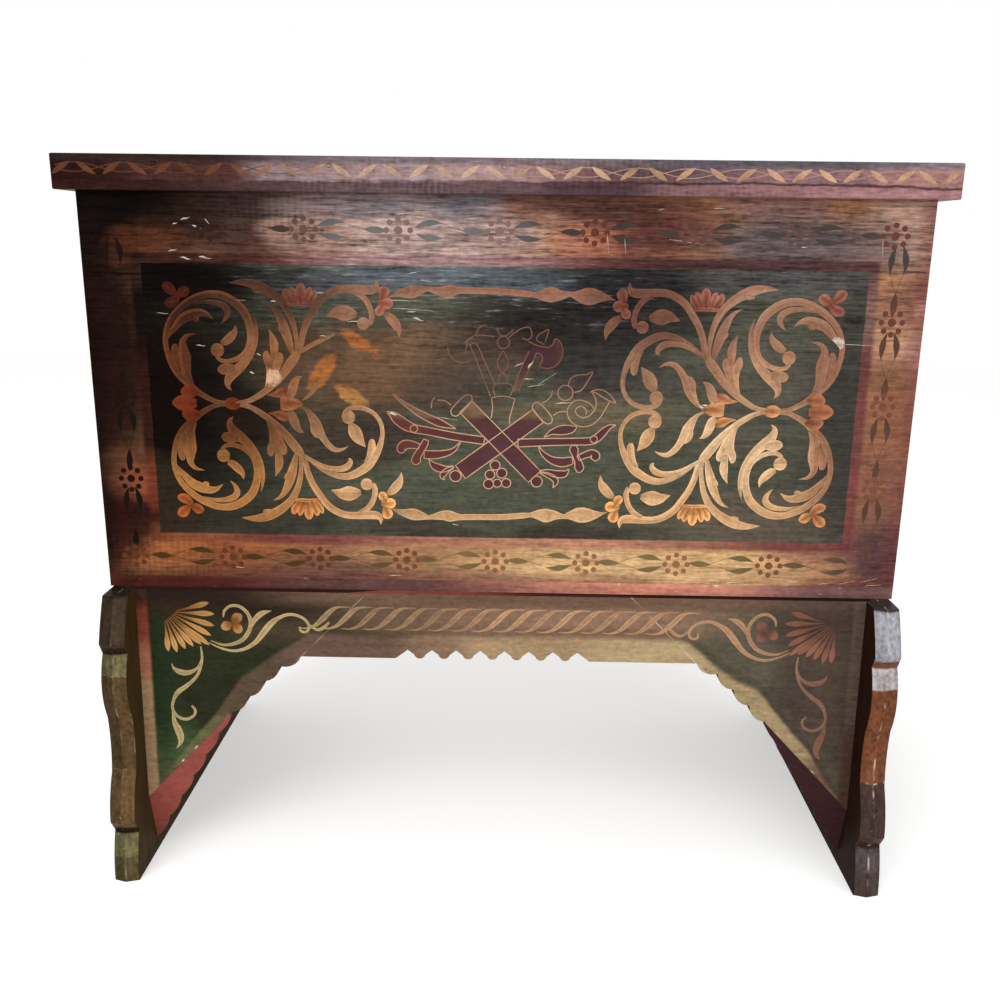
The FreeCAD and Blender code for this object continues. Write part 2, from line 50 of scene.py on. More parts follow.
class Shade:
    """One socket of a material: operators add Math nodes, and node() adds a node of any other kind."""

    def __init__(self, tree, socket=None):
        self.tree = tree
        self.socket = socket

    def node(self, kind, settings=None, inputs=None, output=0):
        """A new node: its settings come first, then its sockets are filled or linked; gives one output."""
        made = self.tree.nodes.new(kind)
        for name, value in (settings or {}).items():
            setattr(made, name, value)
        for name, value in (inputs or {}).items():
            if isinstance(value, Shade):
                self.tree.links.new(value.socket, made.inputs[name])
            else:
                made.inputs[name].default_value = value
        return Shade(self.tree, made.outputs[output])

    def math(self, operation, *values):
        return self.node("ShaderNodeMath", {"operation": operation}, dict(enumerate(values)))

    def __add__(self, other):
        return self.math("ADD", self, other)

    def __radd__(self, other):
        return self.math("ADD", other, self)

    def __sub__(self, other):
        return self.math("SUBTRACT", self, other)

    def __rsub__(self, other):
        return self.math("SUBTRACT", other, self)

    def __mul__(self, other):
        return self.math("MULTIPLY", self, other)

    def __rmul__(self, other):
        return self.math("MULTIPLY", other, self)

    def __truediv__(self, other):
        return self.math("DIVIDE", self, other)

    def __abs__(self):
        return self.math("ABSOLUTE", self)

    def least(self, other):
        return self.math("MINIMUM", self, other)

    def most(self, other):
        return self.math("MAXIMUM", self, other)

    def sine(self):
        return self.math("SINE", self)

    def rise(self, start, end):
        """0 up to start and 1 from end on, with a smooth step between them, in either direction."""
        return self.node("ShaderNodeMapRange", {"interpolation_type": "SMOOTHSTEP"},
                         {"Value": self, "From Min": start, "From Max": end})

    def noise(self, cycles, detail=3.0, distortion=0.0):
        """Cloudy noise from about -1 to 1 on a place in metres, with its cycles per metre on each axis."""
        spread = self.node("ShaderNodeMapping", None, {"Vector": self, "Scale": cycles})
        cloud = self.node("ShaderNodeTexNoise", None, {"Vector": spread, "Scale": 1.0, "Detail": detail,
                                                       "Distortion": distortion})
        return (cloud - 0.5) * 3.0

    def between(self, under, over):
        """The colour under where this mask is 0, and over where it is 1; three numbers are a paint."""
        under, over = (paint(*colour) if isinstance(colour, tuple) and len(colour) == 3 else colour
                       for colour in (under, over))
        return self.node("ShaderNodeMix", {"data_type": "RGBA"}, {0: self, 6: under, 7: over}, output=2)

    def shaded(self, amount):
        """This colour with its light multiplied by an amount."""
        factor = self.node("ShaderNodeCombineColor", None, {0: amount, 1: amount, 2: amount})
        return self.node("ShaderNodeMix", {"data_type": "RGBA", "blend_type": "MULTIPLY"},
                         {0: 1.0, 6: self, 7: factor}, output=2)


def paint(red, green, blue):
    """A paint's colour, from screen values of 0 to 255 to linear light."""
    screen = np.array([red, green, blue]) / 255
    linear = np.where(screen <= 0.04045, screen / 12.92, ((screen + 0.055) / 1.055) ** 2.4)
    return (*linear.tolist(), 1.0)


def new_finish(name):
    """A new material, its place in metres, and its x, y and z in millimetres."""
    finish = bpy.data.materials.new(name)
    finish.use_nodes = True
    start = Shade(finish.node_tree)
    place = start.node("ShaderNodeTexCoord", output="Object")
    large = start.node("ShaderNodeVectorMath", {"operation": "SCALE"}, {0: place, "Scale": 1000.0})
    axes = [start.node("ShaderNodeSeparateXYZ", None, {0: large}, output=axis) for axis in range(3)]
    return finish, place, *axes


def dress(finish, colour, roughness, height=None, gloss=0.02, **fixed):
    """Feed colour, roughness and relief in millimetres to a finish, and set the sockets that stay the same.
    The gloss is low by default, because the old paint has gone dull."""
    shader = finish.node_tree.nodes["Principled BSDF"]
    for name, value in {"Specular_IOR_Level": gloss, **fixed}.items():
        shader.inputs[name.replace("_", " ")].default_value = value
    feeds = {"Base Color": colour, "Roughness": roughness}
    if height is not None:
        feeds["Normal"] = height.node("ShaderNodeBump", None, {"Height": height, "Distance": 0.001})
    for name, value in feeds.items():
        if isinstance(value, Shade):
            finish.node_tree.links.new(value.socket, shader.inputs[name])
        else:
            shader.inputs[name].default_value = value


def coat(finish, *nodes):
    """Put a finish on boards that are already in the frame."""
    for node in nodes:
        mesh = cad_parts[node].data
        mesh.materials.clear()
        mesh.materials.append(finish)


def soften(width, *nodes):
    """Break the sharp edges of boards with a narrow rounding, in metres."""
    for node in nodes:
        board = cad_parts[node]
        weld = board.modifiers.new("join", "WELD")
        weld.merge_threshold = 1e-5
        bevel = board.modifiers.new("worn_edges", "BEVEL")
        bevel.width = width
        bevel.segments = 2
        bevel.limit_method = "ANGLE"
        bevel.angle_limit = np.radians(40)


leg_low, leg_high = (np.array(corner) * 1000 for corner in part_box("right_leg_board"))
LEG_RIDGE_X = (leg_low[0] + leg_high[0]) / 2
# The pale grey blocks of the right leg are painted glare, and the darker paints of the left leg are partly
# painted shade.
LEG_ZONES_WITH_GLARE_AND_SHADE = (  # top of the zone in mm over the floor, then its paint on the left and on the right leg
    (420, (44, 35, 27), (60, 52, 50)),
    (400, (62, 48, 38), (144, 143, 150)),
    (338, (40, 28, 18), (104, 70, 56)),
    (326, (104, 98, 66), (164, 156, 156)),
    (299, (84, 64, 42), (110, 67, 44)),
    (160, (98, 76, 50), (66, 50, 46)),
    (78, (40, 29, 19), (56, 39, 32)),
    (66, (108, 102, 70), (78, 68, 69)),
    (36, (88, 76, 50), (70, 57, 53)),
)
LEG_STEPS = ((160, 2.0), (72, 2.0), (299, 1.6))   # height of a rubbed step, and the reach of its wear, in mm
LEGS = ("left_leg_board", "right_leg_board")

leg_paint, place, x, y, z = new_finish("worn_leg_paint")
streaks = place.noise((120, 60, 14), 5)
blots = place.noise((26, 26, 20), 5)
grit = place.noise((190, 190, 150), 4)
wander = blots * 3.0
right = x.rise(-1, 1)
colour = None
for top, left_paint, right_paint in LEG_ZONES_WITH_GLARE_AND_SHADE:
    zone = right.between(left_paint, right_paint)
    colour = zone if colour is None else (z + wander).rise(top + 1.5, top - 1.5).between(colour, zone)
off_ridge = abs(abs(x) - LEG_RIDGE_X)
outer = (abs(x) - LEG_RIDGE_X).rise(-1.0, 1.0)
# The outer facet of the left leg is painted darker: painted shade on the side turned from the light.
colour = colour.shaded(1.0 - outer * (1 - right) * 0.4)
colour = colour.shaded((1.0 + streaks * 0.4 + blots * 0.3 + grit * 0.55).most(0.2))
grime = place.noise((70, 70, 45), 5).rise(0.45, 1.15)
colour = (grime * 0.55).between(colour, (44, 32, 24))
gleam = place.noise((45, 45, 16), 5).rise(0.75, 1.25)
colour = (gleam * 0.4).between(colour, (196, 190, 178))
half_leg = (leg_high[0] - leg_low[0]) / 2
side_face = off_ridge.rise(half_leg - 0.9, half_leg - 0.4).most(y.rise(-60, 0))
# The inner and back faces of the legs are painted dark: painted shade.
flank_shade = right.between((62, 47, 25), (38, 21, 15)).shaded(1.0 + streaks * 0.3 + blots * 0.25)
colour = side_face.between(colour, flank_shade)
ridge_wear = off_ridge.rise(1.7, 0.5) * (0.35 + right * 0.5)
ridge_wear = ridge_wear * place.noise((70, 70, 34), 5).rise(-0.05, 0.45)
low, foot, high = (abs(z + wander - height).rise(reach, reach / 4) for height, reach in LEG_STEPS)
step_wear = low.most(foot).most(high)
step_wear = step_wear * place.noise((150, 150, 60), 5).rise(0.05, 0.55) * (0.3 + right * 0.5)
arris_wear = off_ridge.rise(half_leg - 2.6, half_leg - 0.8) * (1 - side_face)
arris_wear = arris_wear * place.noise((90, 90, 24), 5).rise(0.45, 0.95)
# Pale specks low on the legs, most on the left: partly knocked paint, partly painted glints.
low_on_legs = z.rise(190, 150) * (1 - right * 0.15)
pale_specks = (place.noise((110, 110, 75), 5) - 0.95 + low_on_legs * 0.4).rise(0.0, 0.25) * (1 - side_face)
bare = (ridge_wear.most(step_wear) * (1 - side_face)).most(arris_wear).most(pale_specks)
colour = (bare * 0.85).between(colour, (205, 188, 160))
relief = streaks * 0.15 + blots * 0.3 + grit * 0.2 - bare * 0.25
dress(leg_paint, colour, 0.34 + bare * 0.3 + side_face * 0.2, relief)
coat(leg_paint, *LEGS)
soften(0.0013, *LEGS)

# Apron boards
# A rail and two brackets, mitred together between the legs, with a scalloped and bevelled lower edge.
# Their front is painted dark green with ochre margins along the cut edges and a red bevel.


def oval(x, z, middle, reach):
    """A soft patch: 1 in the middle of an oval, falling smoothly to 0 at its reach."""
    across = (x - middle[0]) / reach[0]
    up = (z - middle[1]) / reach[1]
    return (across * across + up * up).rise(1.0, 0.0)


def patched(colour, x, z, patches):
    """Soft ovals of paint laid over a colour in turn: middle and reach in mm, strength and paint of each."""
    for middle, reach, strength, tone in patches:
        colour = (oval(x, z, middle, reach) * strength).between(colour, tone)
    return colour


def graded(axis, first, *steps):
    """Paint that changes along an axis: each step goes over to its own paint, from start to end in mm."""
    colour = first
    for start, end, tone in steps:
        colour = axis.rise(start, end).between(colour, tone)
    return colour


APRON_BOARDS = ("apron_rail", "apron_left_bracket", "apron_right_bracket")
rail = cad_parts[APRON_BOARDS[0]].data
corners = np.empty(len(rail.vertices) * 3)
rail.vertices.foreach_get("co", corners)
corners = corners.reshape(-1, 3) * 1000
APRON_TOP, APRON_FOOT = corners[:, 2].max(), corners[:, 2].min()
APRON_TOP_Y = corners[corners[:, 2] > APRON_TOP - 0.1][:, 1].min()
APRON_FOOT_Y = corners[:, 1].min()
APRON_LEAN = (APRON_TOP_Y - APRON_FOOT_Y) / (APRON_TOP - APRON_FOOT)

BEVEL_START = (369, 227)     # the last scallop above the bevel, in mm
BEVEL_END = (492, 98)        # where the arris of the bevel meets the leg
BEVEL_SLOPE = 20 / 76
MITRE_SUM = 580.1            # out from the middle plus height, anywhere on a mitre

apron_paint, place, x, y, z = new_finish("apron_paint")
out = abs(x)
right = x.rise(-60, 60)
brush = place.noise((9, 9, 120), 4)
clouds = place.noise((14, 14, 14), 4)
wander = clouds * 4.0
depth = y - (APRON_TOP_Y - (APRON_TOP - z) * APRON_LEAN)

# The ground goes darker over the left half, partly painted shade, and the dark patches along the top at the
# left are painted shadow under the case.
colour = patched(right.between((40, 42, 27), (84, 78, 64)), x, z, (
    ((-455, 150), (70, 90), 1.0, (64, 78, 48)),
    ((-462, 260), (30, 130), 1.0, (36, 48, 29)),
    ((0, 372), (300, 60), 1.0, (108, 84, 68)),
    ((130, 372), (240, 50), 1.0, (132, 103, 83)),
    ((-290, 358), (110, 46), 1.0, (66, 56, 42)),
    ((425, 270), (70, 90), 1.0, (70, 58, 52)),
    ((-330, 388), (130, 40), 1.0, (40, 30, 22)),
    ((450, 372), (120, 70), 1.0, (64, 50, 44)),
    ((470, 250), (60, 160), 1.0, (76, 64, 54)),
    ((-440, 390), (90, 30), 1.0, (46, 33, 25)),
))
edge_line = (334 - (out - 271) * 0.68).least(279 - (out - 352) * 1.2).least(343)
edge_line = edge_line - x.rise(-345, -400) * 9 - x.rise(235, 300) * 12
edge_line = edge_line + x.rise(320, 370) * 10 - x.rise(425, 465) * 12
margin = (z + wander - edge_line).rise(5, -5)
shadow_line = abs(z + wander - edge_line - 9).rise(10, 0)
margin_paint = patched(right.between((84, 70, 54), (152, 132, 98)), x, z, (
    ((30, 320), (200, 60), 1.0, (156, 130, 98)),
    ((-90, 322), (60, 40), 1.0, (126, 100, 80)),
    ((-215, 320), (120, 50), 1.0, (98, 76, 66)),
    ((205, 322), (120, 40), 1.0, (166, 143, 107)),
    ((-425, 180), (70, 70), 1.0, (98, 96, 64)),
    ((455, 140), (45, 55), 1.0, (114, 84, 70)),
))
colour = (shadow_line * right * 0.3).between(colour, (52, 44, 34))
colour = margin.between(colour, margin_paint)
# A strip along the top of the apron; the dark oval at its left end is painted shadow under the case.
strip_paint_and_shadow = oval(x, z, (-430, 394), (190, 60)).between((102, 78, 63), (38, 27, 22))
strip_paint_and_shadow = x.rise(330, 420).between(strip_paint_and_shadow, (78, 63, 56))
colour = (z + wander * 0.5).rise(376, 396).between(colour, strip_paint_and_shadow)
left_stripe = graded(z, (160, 130, 96), (250, 300, (166, 106, 80)), (305, 345, (130, 62, 48)),
                     (362, 392, (58, 36, 30)))
stripe_paint = right.between(left_stripe, graded(z, (78, 57, 47), (190, 240, (94, 77, 68))))
colour = (out + wander * 0.3).rise(474, 480).between(colour, stripe_paint)
scumble = place.noise((90, 90, 230), 5)
speckle = place.noise((220, 220, 220), 3)
colour = colour.shaded((1.0 + brush * 0.2 + clouds * 0.14 + scumble * 0.3 + speckle * 0.16).most(0.2))

fall = (BEVEL_END[1] - BEVEL_START[1]) / (BEVEL_END[0] - BEVEL_START[0])
below_arris = (out - BEVEL_START[0]) * fall + BEVEL_START[1] - z
# The cut edges and the back of the boards are painted dark as painted shade, and the bevel of the right
# bracket is painted dark as painted shadow.
edge = depth.rise(0.3, 0.8)
edge_paint_in_shade = right.between((52, 32, 25), (40, 26, 20)).shaded(1.0 + clouds * 0.2)
bevel = edge * (depth - below_arris * BEVEL_SLOPE).rise(1.6, 0.9) * below_arris.rise(-1.0, 0.5)
bevel_paint_and_shade = right.between((146, 76, 68), (58, 34, 36)).shaded(1.0 + clouds * 0.2 + scumble * 0.25)
colour = edge.between(colour, edge_paint_in_shade)
colour = bevel.between(colour, bevel_paint_and_shade)
# Pale flecks along the arris of the bevel, more on the left: partly chipped paint and partly painted glints.
pale_flecks = abs(below_arris).rise(2.4, 0.6) * place.noise((55, 55, 55), 4).rise(0.25, 0.65)
pale_flecks = pale_flecks * out.rise(372, 380) * (1 - right * 0.6)
crack = abs(out + z - MITRE_SUM).rise(1.6, 0.4) * (1 - edge)
crack = crack * place.noise((40, 40, 40), 4).rise(-0.1, 0.4) * (0.35 + x.rise(100, 200) * 0.65)
colour = pale_flecks.between(colour, (232, 214, 186))
colour = (crack * 0.8).between(colour, (205, 190, 165))
dress(apron_paint, colour, 0.36 + clouds * 0.05 + edge * 0.2, brush * 0.05 + clouds * 0.1 - crack * 0.4)
coat(apron_paint, *APRON_BOARDS)
soften(0.0008, *APRON_BOARDS)

# Ornament of the apron
# A rope band on the rail between scrolls, with a fan, a trefoil and a trailing leaf on each bracket.
# All are single strokes of thick ochre paint, laid by hand over the dark ground.


TONE_STEP = 0.618034    # golden share: neighbours in a list of strokes get unlike tones


def smooth(points, steps=7):
    """Cubic through the points, with each slope half the step from the point before to the one after."""
    knots = np.array(points, float)
    padded = np.vstack([2 * knots[0] - knots[1], knots, 2 * knots[-1] - knots[-2]])
    before, first, last, after = padded[:-3], padded[1:-2], padded[2:-1], padded[3:]
    share = np.linspace(0, 1, steps, endpoint=False)[None, :, None]
    before, first, last, after = (part[:, None, :] for part in (before, first, last, after))
    curve = first + share / 2 * (last - before) + share ** 2 * (before - 2.5 * first + 2 * last - after / 2)
    curve = curve + share ** 3 * (1.5 * (first - last) + (after - before) / 2)
    return np.vstack([curve.reshape(-1, knots.shape[1]), knots[-1]])


def ribbon(line, lift):
    """A closed low ridge of paint along a line of (across, up, width): six points round each station,
    at -1, -0.8, 0, 0.8 and 1 half widths on the face and one under it, raised to the lift in the middle."""
    run = np.gradient(line[:, :2], axis=0)
    run = run / np.maximum(np.linalg.norm(run, axis=1, keepdims=True), 1e-6)
    side = np.column_stack([-run[:, 1], run[:, 0]])
    across = np.array([-1, -0.8, 0, 0.8, 1, 0])
    height = np.array([0, 0.8, 1, 0.8, 0, -0.8])
    half = np.maximum(line[:, 2], 0.15) / 2
    flat = line[:, None, :2] + side[:, None] * (half[:, None] * across)[..., None]
    raised = lift * np.clip(half / 2.5, 0.3, 1)[:, None] * height
    points = np.concatenate([flat, raised[..., None]], axis=2).reshape(-1, 3)
    rows, ring = len(line), len(across)
    station = np.arange(rows - 1)[:, None] * ring
    here = np.arange(ring)[None]
    beyond = (here + 1) % ring
    sides = np.stack([station + here, station + ring + here, station + ring + beyond, station + beyond], -1)
    caps = [np.arange(ring).tolist(), np.arange(rows * ring - 1, (rows - 1) * ring - 1, -1).tolist()]
    grain = np.column_stack([np.tile((across + 1) / 2, rows), np.repeat(np.linspace(0, 1, rows), ring)])
    return points, sides.reshape(-1, 4).tolist() + caps, grain


def disc(across, up, wide, tall=None):
    """A round dab as a stroke: stations from left to right, as wide as the circle is there."""
    tall = wide if tall is None else tall
    angle = np.linspace(np.pi, 0, 13)
    return np.column_stack([across + wide * np.cos(angle), np.full(13, float(up)), 2 * tall * np.sin(angle)])


def lay_paint(name, strokes, lift, finish, panel):
    """Gather strokes of (across, up, width) into one piece on a panel: a point comes forward from the face
    by its height, and the face itself leans forward from its head down. A stroke's grain is kept as a
    UV map, and its place in the list as a tone from 0 to 1."""
    head_y, head, lean, body, slot = panel
    points, faces, grain, tones, count = [], [], [], [], 0
    for index, line in enumerate(strokes):
        mesh = ribbon(np.asarray(line, float), lift * (1 + 0.04 * (index % 6)))
        points.append(mesh[0])
        faces += [[corner + count for corner in face] for face in mesh[1]]
        grain.append(mesh[2])
        tones.append(np.full(len(mesh[0]), (index * TONE_STEP) % 1.0))
        count += len(mesh[0])
    across, up, height = np.vstack(points).T
    mesh = bpy.data.meshes.new(name)
    mesh.from_pydata(np.column_stack([across, head_y - (head - up) * lean - height, up]) / 1000, [], faces)
    corner_of = np.empty(len(mesh.loops), int)
    mesh.loops.foreach_get("vertex_index", corner_of)
    mesh.uv_layers.new(name="stroke").data.foreach_set("uv", np.vstack(grain)[corner_of].ravel())
    mesh.attributes.new("tone", "FLOAT", "POINT").data.foreach_set("value", np.concatenate(tones))
    mesh.materials.append(finish)
    piece = bpy.data.objects.new(name, mesh)
    bpy.context.scene.collection.objects.link(piece)
    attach(piece, body)


def mirrored(strokes):
    """The same strokes on the other side of the middle."""
    return [np.asarray(line) * (-1, 1, 1) for line in strokes]


def stroke_marks(place):
    """The place across a stroke and along it, from 0 to 1, and the stroke's own tone."""
    grain = place.node("ShaderNodeUVMap", {"uv_map": "stroke"})
    across = place.node("ShaderNodeSeparateXYZ", None, {0: grain}, output=0)
    along = place.node("ShaderNodeSeparateXYZ", None, {0: grain}, output=1)
    return across, along, place.node("ShaderNodeAttribute", {"attribute_name": "tone"}, output="Fac")


APRON_PANEL = (APRON_TOP_Y, APRON_TOP, APRON_LEAN, "chest", "painted_apron")   # face at its head, head, lean
ROPE_HEIGHT, ROPE_PITCH = 366.5, 29.5
STRAND = smooth(((-36, -15, 1), (-24, -15.5, 2.4), (-12, -11, 5), (0, 0, 8), (10, 10, 6.5), (20, 15, 3),
                 (36, 15.5, 1)))
ROPE = [STRAND + (middle, ROPE_HEIGHT, 0) for middle in np.arange(-237, 252, ROPE_PITCH)]
FAN_TIPS = ((393, 385), (386, 369), (387, 352), (392, 338), (395, 324), (406, 325), (417, 322), (428, 318),
            (440, 313), (452, 314))
FAN = []
for index, tip in enumerate(FAN_TIPS):
    share = index / (len(FAN_TIPS) - 1)
    root = (438 + 16 * share, 372 - 14 * share)
    far = [(root[0] + (tip[0] - root[0]) * part, root[1] + (tip[1] - root[1]) * part, wide)
           for part, wide in ((0, 1), (0.35, 3), (0.72, 7.8), (0.9, 5.5), (1, 0.5))]
    FAN.append(smooth(far))
TREFOIL = [smooth(line) for line in (
    ((362, 357, 4), (358, 361, 13), (354.5, 365, 14), (351.5, 368, 9), (350, 370, 2)),
    ((363, 356, 4), (368, 353.5, 13), (372, 351.5, 13), (376, 350, 8), (377.5, 349.5, 2)),
    ((361, 355, 4), (357, 351, 13), (354, 347.5, 13), (351, 344.5, 8), (350, 343.5, 2)),
)]
SCROLLS = [smooth(line) for line in (
    ((374, 365, 2), (372, 374, 3.5), (363, 381, 4), (351, 380, 4.5), (341, 371, 5), (337, 358, 5.5),
     (340, 345, 6), (349, 333, 6), (362, 326.5, 5), (377, 325, 3.5), (393, 331, 1)),
    ((396, 328, 1), (379, 320, 3), (362, 316.5, 4), (346, 320, 5), (331, 330, 6.5), (319, 345, 9),
     (309, 357, 8.5), (298, 365, 5.5), (285, 370, 4.5), (271, 368, 4), (261, 361, 4), (257.5, 352, 3.5),
     (262, 345.5, 3.5), (269, 347, 3.5), (270, 353, 2)),
    ((338, 349, 3), (331, 362, 7), (321, 371, 7.5), (308, 375, 0.5)),
    ((257, 356, 2), (247, 349, 4), (238, 352, 5), (230, 360, 3)),
)]
TRAIL = [smooth(line) for line in (
    ((407, 322, 2), (406, 306, 3.5), (409, 291, 4), (416, 277, 4.5), (429, 264.5, 6), (441, 255.5, 7),
     (448, 245, 5), (451, 231, 4), (445, 219, 4.5), (433, 214.5, 4.5), (422, 220, 4), (419.5, 228, 4),
     (424, 235, 3)),
    ((407, 304, 1.5), (413, 291, 3.5), (424, 284, 6.5), (436, 284, 8.5), (445, 289, 5), (449, 297, 0.5)),
    ((451, 227, 2), (449.5, 211, 7), (445, 199, 11), (442, 188, 10), (443, 179, 6), (449, 170, 0.5)),
)]

ochre_paint, place, x, _, z = new_finish("ochre_stroke_paint")
across, _, tone = stroke_marks(place)
right = x.rise(-330, 330)
brush = place.noise((25, 25, 160), 4)
grain = place.noise((150, 150, 260), 4)
colour = right.between((172, 150, 106), (158, 122, 94))
colour = patched(colour, x, z, (
    ((60, 366), (300, 70), 1.0, (172, 134, 102)),
    ((-130, 366), (150, 50), 1.0, (140, 112, 86)),
    ((440, 240), (110, 130), 1.0, (120, 88, 74)),
))
heart = abs(across - 0.55 + brush * 0.08).rise(0.16, 0.02)
colour = (heart * 0.5).between(colour, (126, 88, 52))
colour = colour.shaded(1.0 + brush * 0.2 + grain * 0.25 + (tone - 0.5) * 0.2)
dress(ochre_paint, colour, 0.42, brush * 0.04)
lay_paint("apron_rope_band", ROPE, 0.25, ochre_paint, APRON_PANEL)
lay_paint("apron_scrolls", mirrored(SCROLLS + TRAIL) + SCROLLS + TRAIL, 0.3, ochre_paint, APRON_PANEL)

fan_paint, place, x, _, z = new_finish("fan_petal_paint")
across, along, tone = stroke_marks(place)
right = x.rise(-330, 330)
brush = place.noise((40, 40, 40), 4)
colour = right.between((186, 138, 84), (134, 90, 74))
root_paint = right.between((140, 90, 44), (102, 70, 60))
colour = (along + brush * 0.1).rise(0.55, 0.1).between(colour, root_paint)
colour = colour.shaded(1.0 - z.rise(325, 375) * 0.24)
streak = abs(across - 0.5).rise(0.2, 0.0) * along.rise(0.8, 0.3)
colour = (streak * 0.5).between(colour, (132, 68, 36))
colour = colour.shaded(1.0 + brush * 0.2 + (tone - 0.5) * 0.2)
dress(fan_paint, colour, 0.42, brush * 0.05)
lay_paint("apron_fans", mirrored(FAN) + FAN, 0.35, fan_paint, APRON_PANEL)
lay_paint("apron_trefoils", mirrored(TREFOIL) + TREFOIL, 0.4, fan_paint, APRON_PANEL)

# Hidden timbers of the stand, and the floor of the case
# Sawn softwood, never painted: mitre blocks, back rail and cleats, and the two planks of the floor.
# Only the front edge of the floor shows, as a red band under the painted front.


def timber(name, along, tone):
    """Bare board: long grain along one axis, darker rings and pores, and stains."""
    finish, place, *_ = new_finish(name)
    fibre = [130.0, 130.0, 130.0]
    fibre["xyz".index(along)] = 5.0
    broad = [16.0, 16.0, 16.0]
    broad["xyz".index(along)] = 1.2
    fine = place.noise(fibre, 5)
    rings = (place.noise(broad, 3, 0.4) * 16.0).sine()
    stains = place.noise((7, 7, 7), 4)
    colour = (rings * 0.5 + 0.5).between(tone, tuple(0.87 * np.array(tone)))
    colour = colour.shaded((1.0 + fine * 0.24 + stains * 0.16).most(0.2))
    dress(finish, colour, 0.75 + fine * 0.05, fine * 0.12 + rings * 0.05, gloss=0.1)
    return finish


long_timber = timber("bare_timber_lengthwise", "x", (128, 92, 60))
cross_timber = timber("bare_timber_crosswise", "y", (120, 86, 55))
coat(long_timber, "left_mitre_block", "right_mitre_block", "back_rail")
coat(cross_timber, "left_cleat", "right_cleat")

front_low, front_high = (np.array(corner) * 1000 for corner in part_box("front_lower_plank"))
FRONT_Y = front_low[1]
CASE_HALF = front_high[0]
CASE_FOOT, CASE_HEAD = 418, 935      # lower and upper edge of the front, in mm

red_edge, place, x, y, z = new_finish("red_edge_paint")
fine = place.noise((5, 130, 130), 5)
clouds = place.noise((20, 20, 60), 4)
grit = place.noise((120, 120, 260), 4)
inside = (y - FRONT_Y).rise(0.4, 0.9)
# The red edge goes dark toward the left end: painted shade.
colour = graded(x, (72, 33, 27), (-420, -150, (98, 68, 64)), (-120, 190, (204, 134, 112)),
                (240, 430, (112, 80, 78)))
paint_light = (1.0 + clouds * 0.25 + fine * 0.45 + grit * 0.35).most(0.2)
wood_light = 1.0 + fine * 0.2 + clouds * 0.15
colour = inside.between(colour, (118, 84, 54)).shaded(paint_light * (1 - inside) + wood_light * inside)
pale_flecks = place.noise((60, 60, 190), 5).rise(0.6, 0.9)
broken = (place.noise((40, 60, 60), 5) - 0.55 + x.rise(-100, 300) * 0.35).rise(0.0, 0.3)
pale_flecks = pale_flecks.most(z.rise(CASE_FOOT - 5, CASE_FOOT) * broken)
colour = (pale_flecks * (1 - inside) * 0.85).between(colour, (224, 206, 190))
dress(red_edge, colour, 0.42 + inside * 0.3, fine * 0.08 - pale_flecks * 0.3)
coat(red_edge, "bottom_front_plank")
coat(long_timber, "bottom_back_plank")

# Walls of the case
# Two planks on each side, butted and pegged. The front has a dark green field inside a red line,
# with an ochre band round it; the ends repeat that plainly, and the back and the inside are bare.

FIELD_INSET = 74
FIELD_FOOT, FIELD_HEAD = 479, 832
back_high = np.array(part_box("back_lower_plank")[1]) * 1000
CASE_MIDDLE_Y = (FRONT_Y + back_high[1]) / 2
CASE_HALF_DEPTH = (back_high[1] - FRONT_Y) / 2

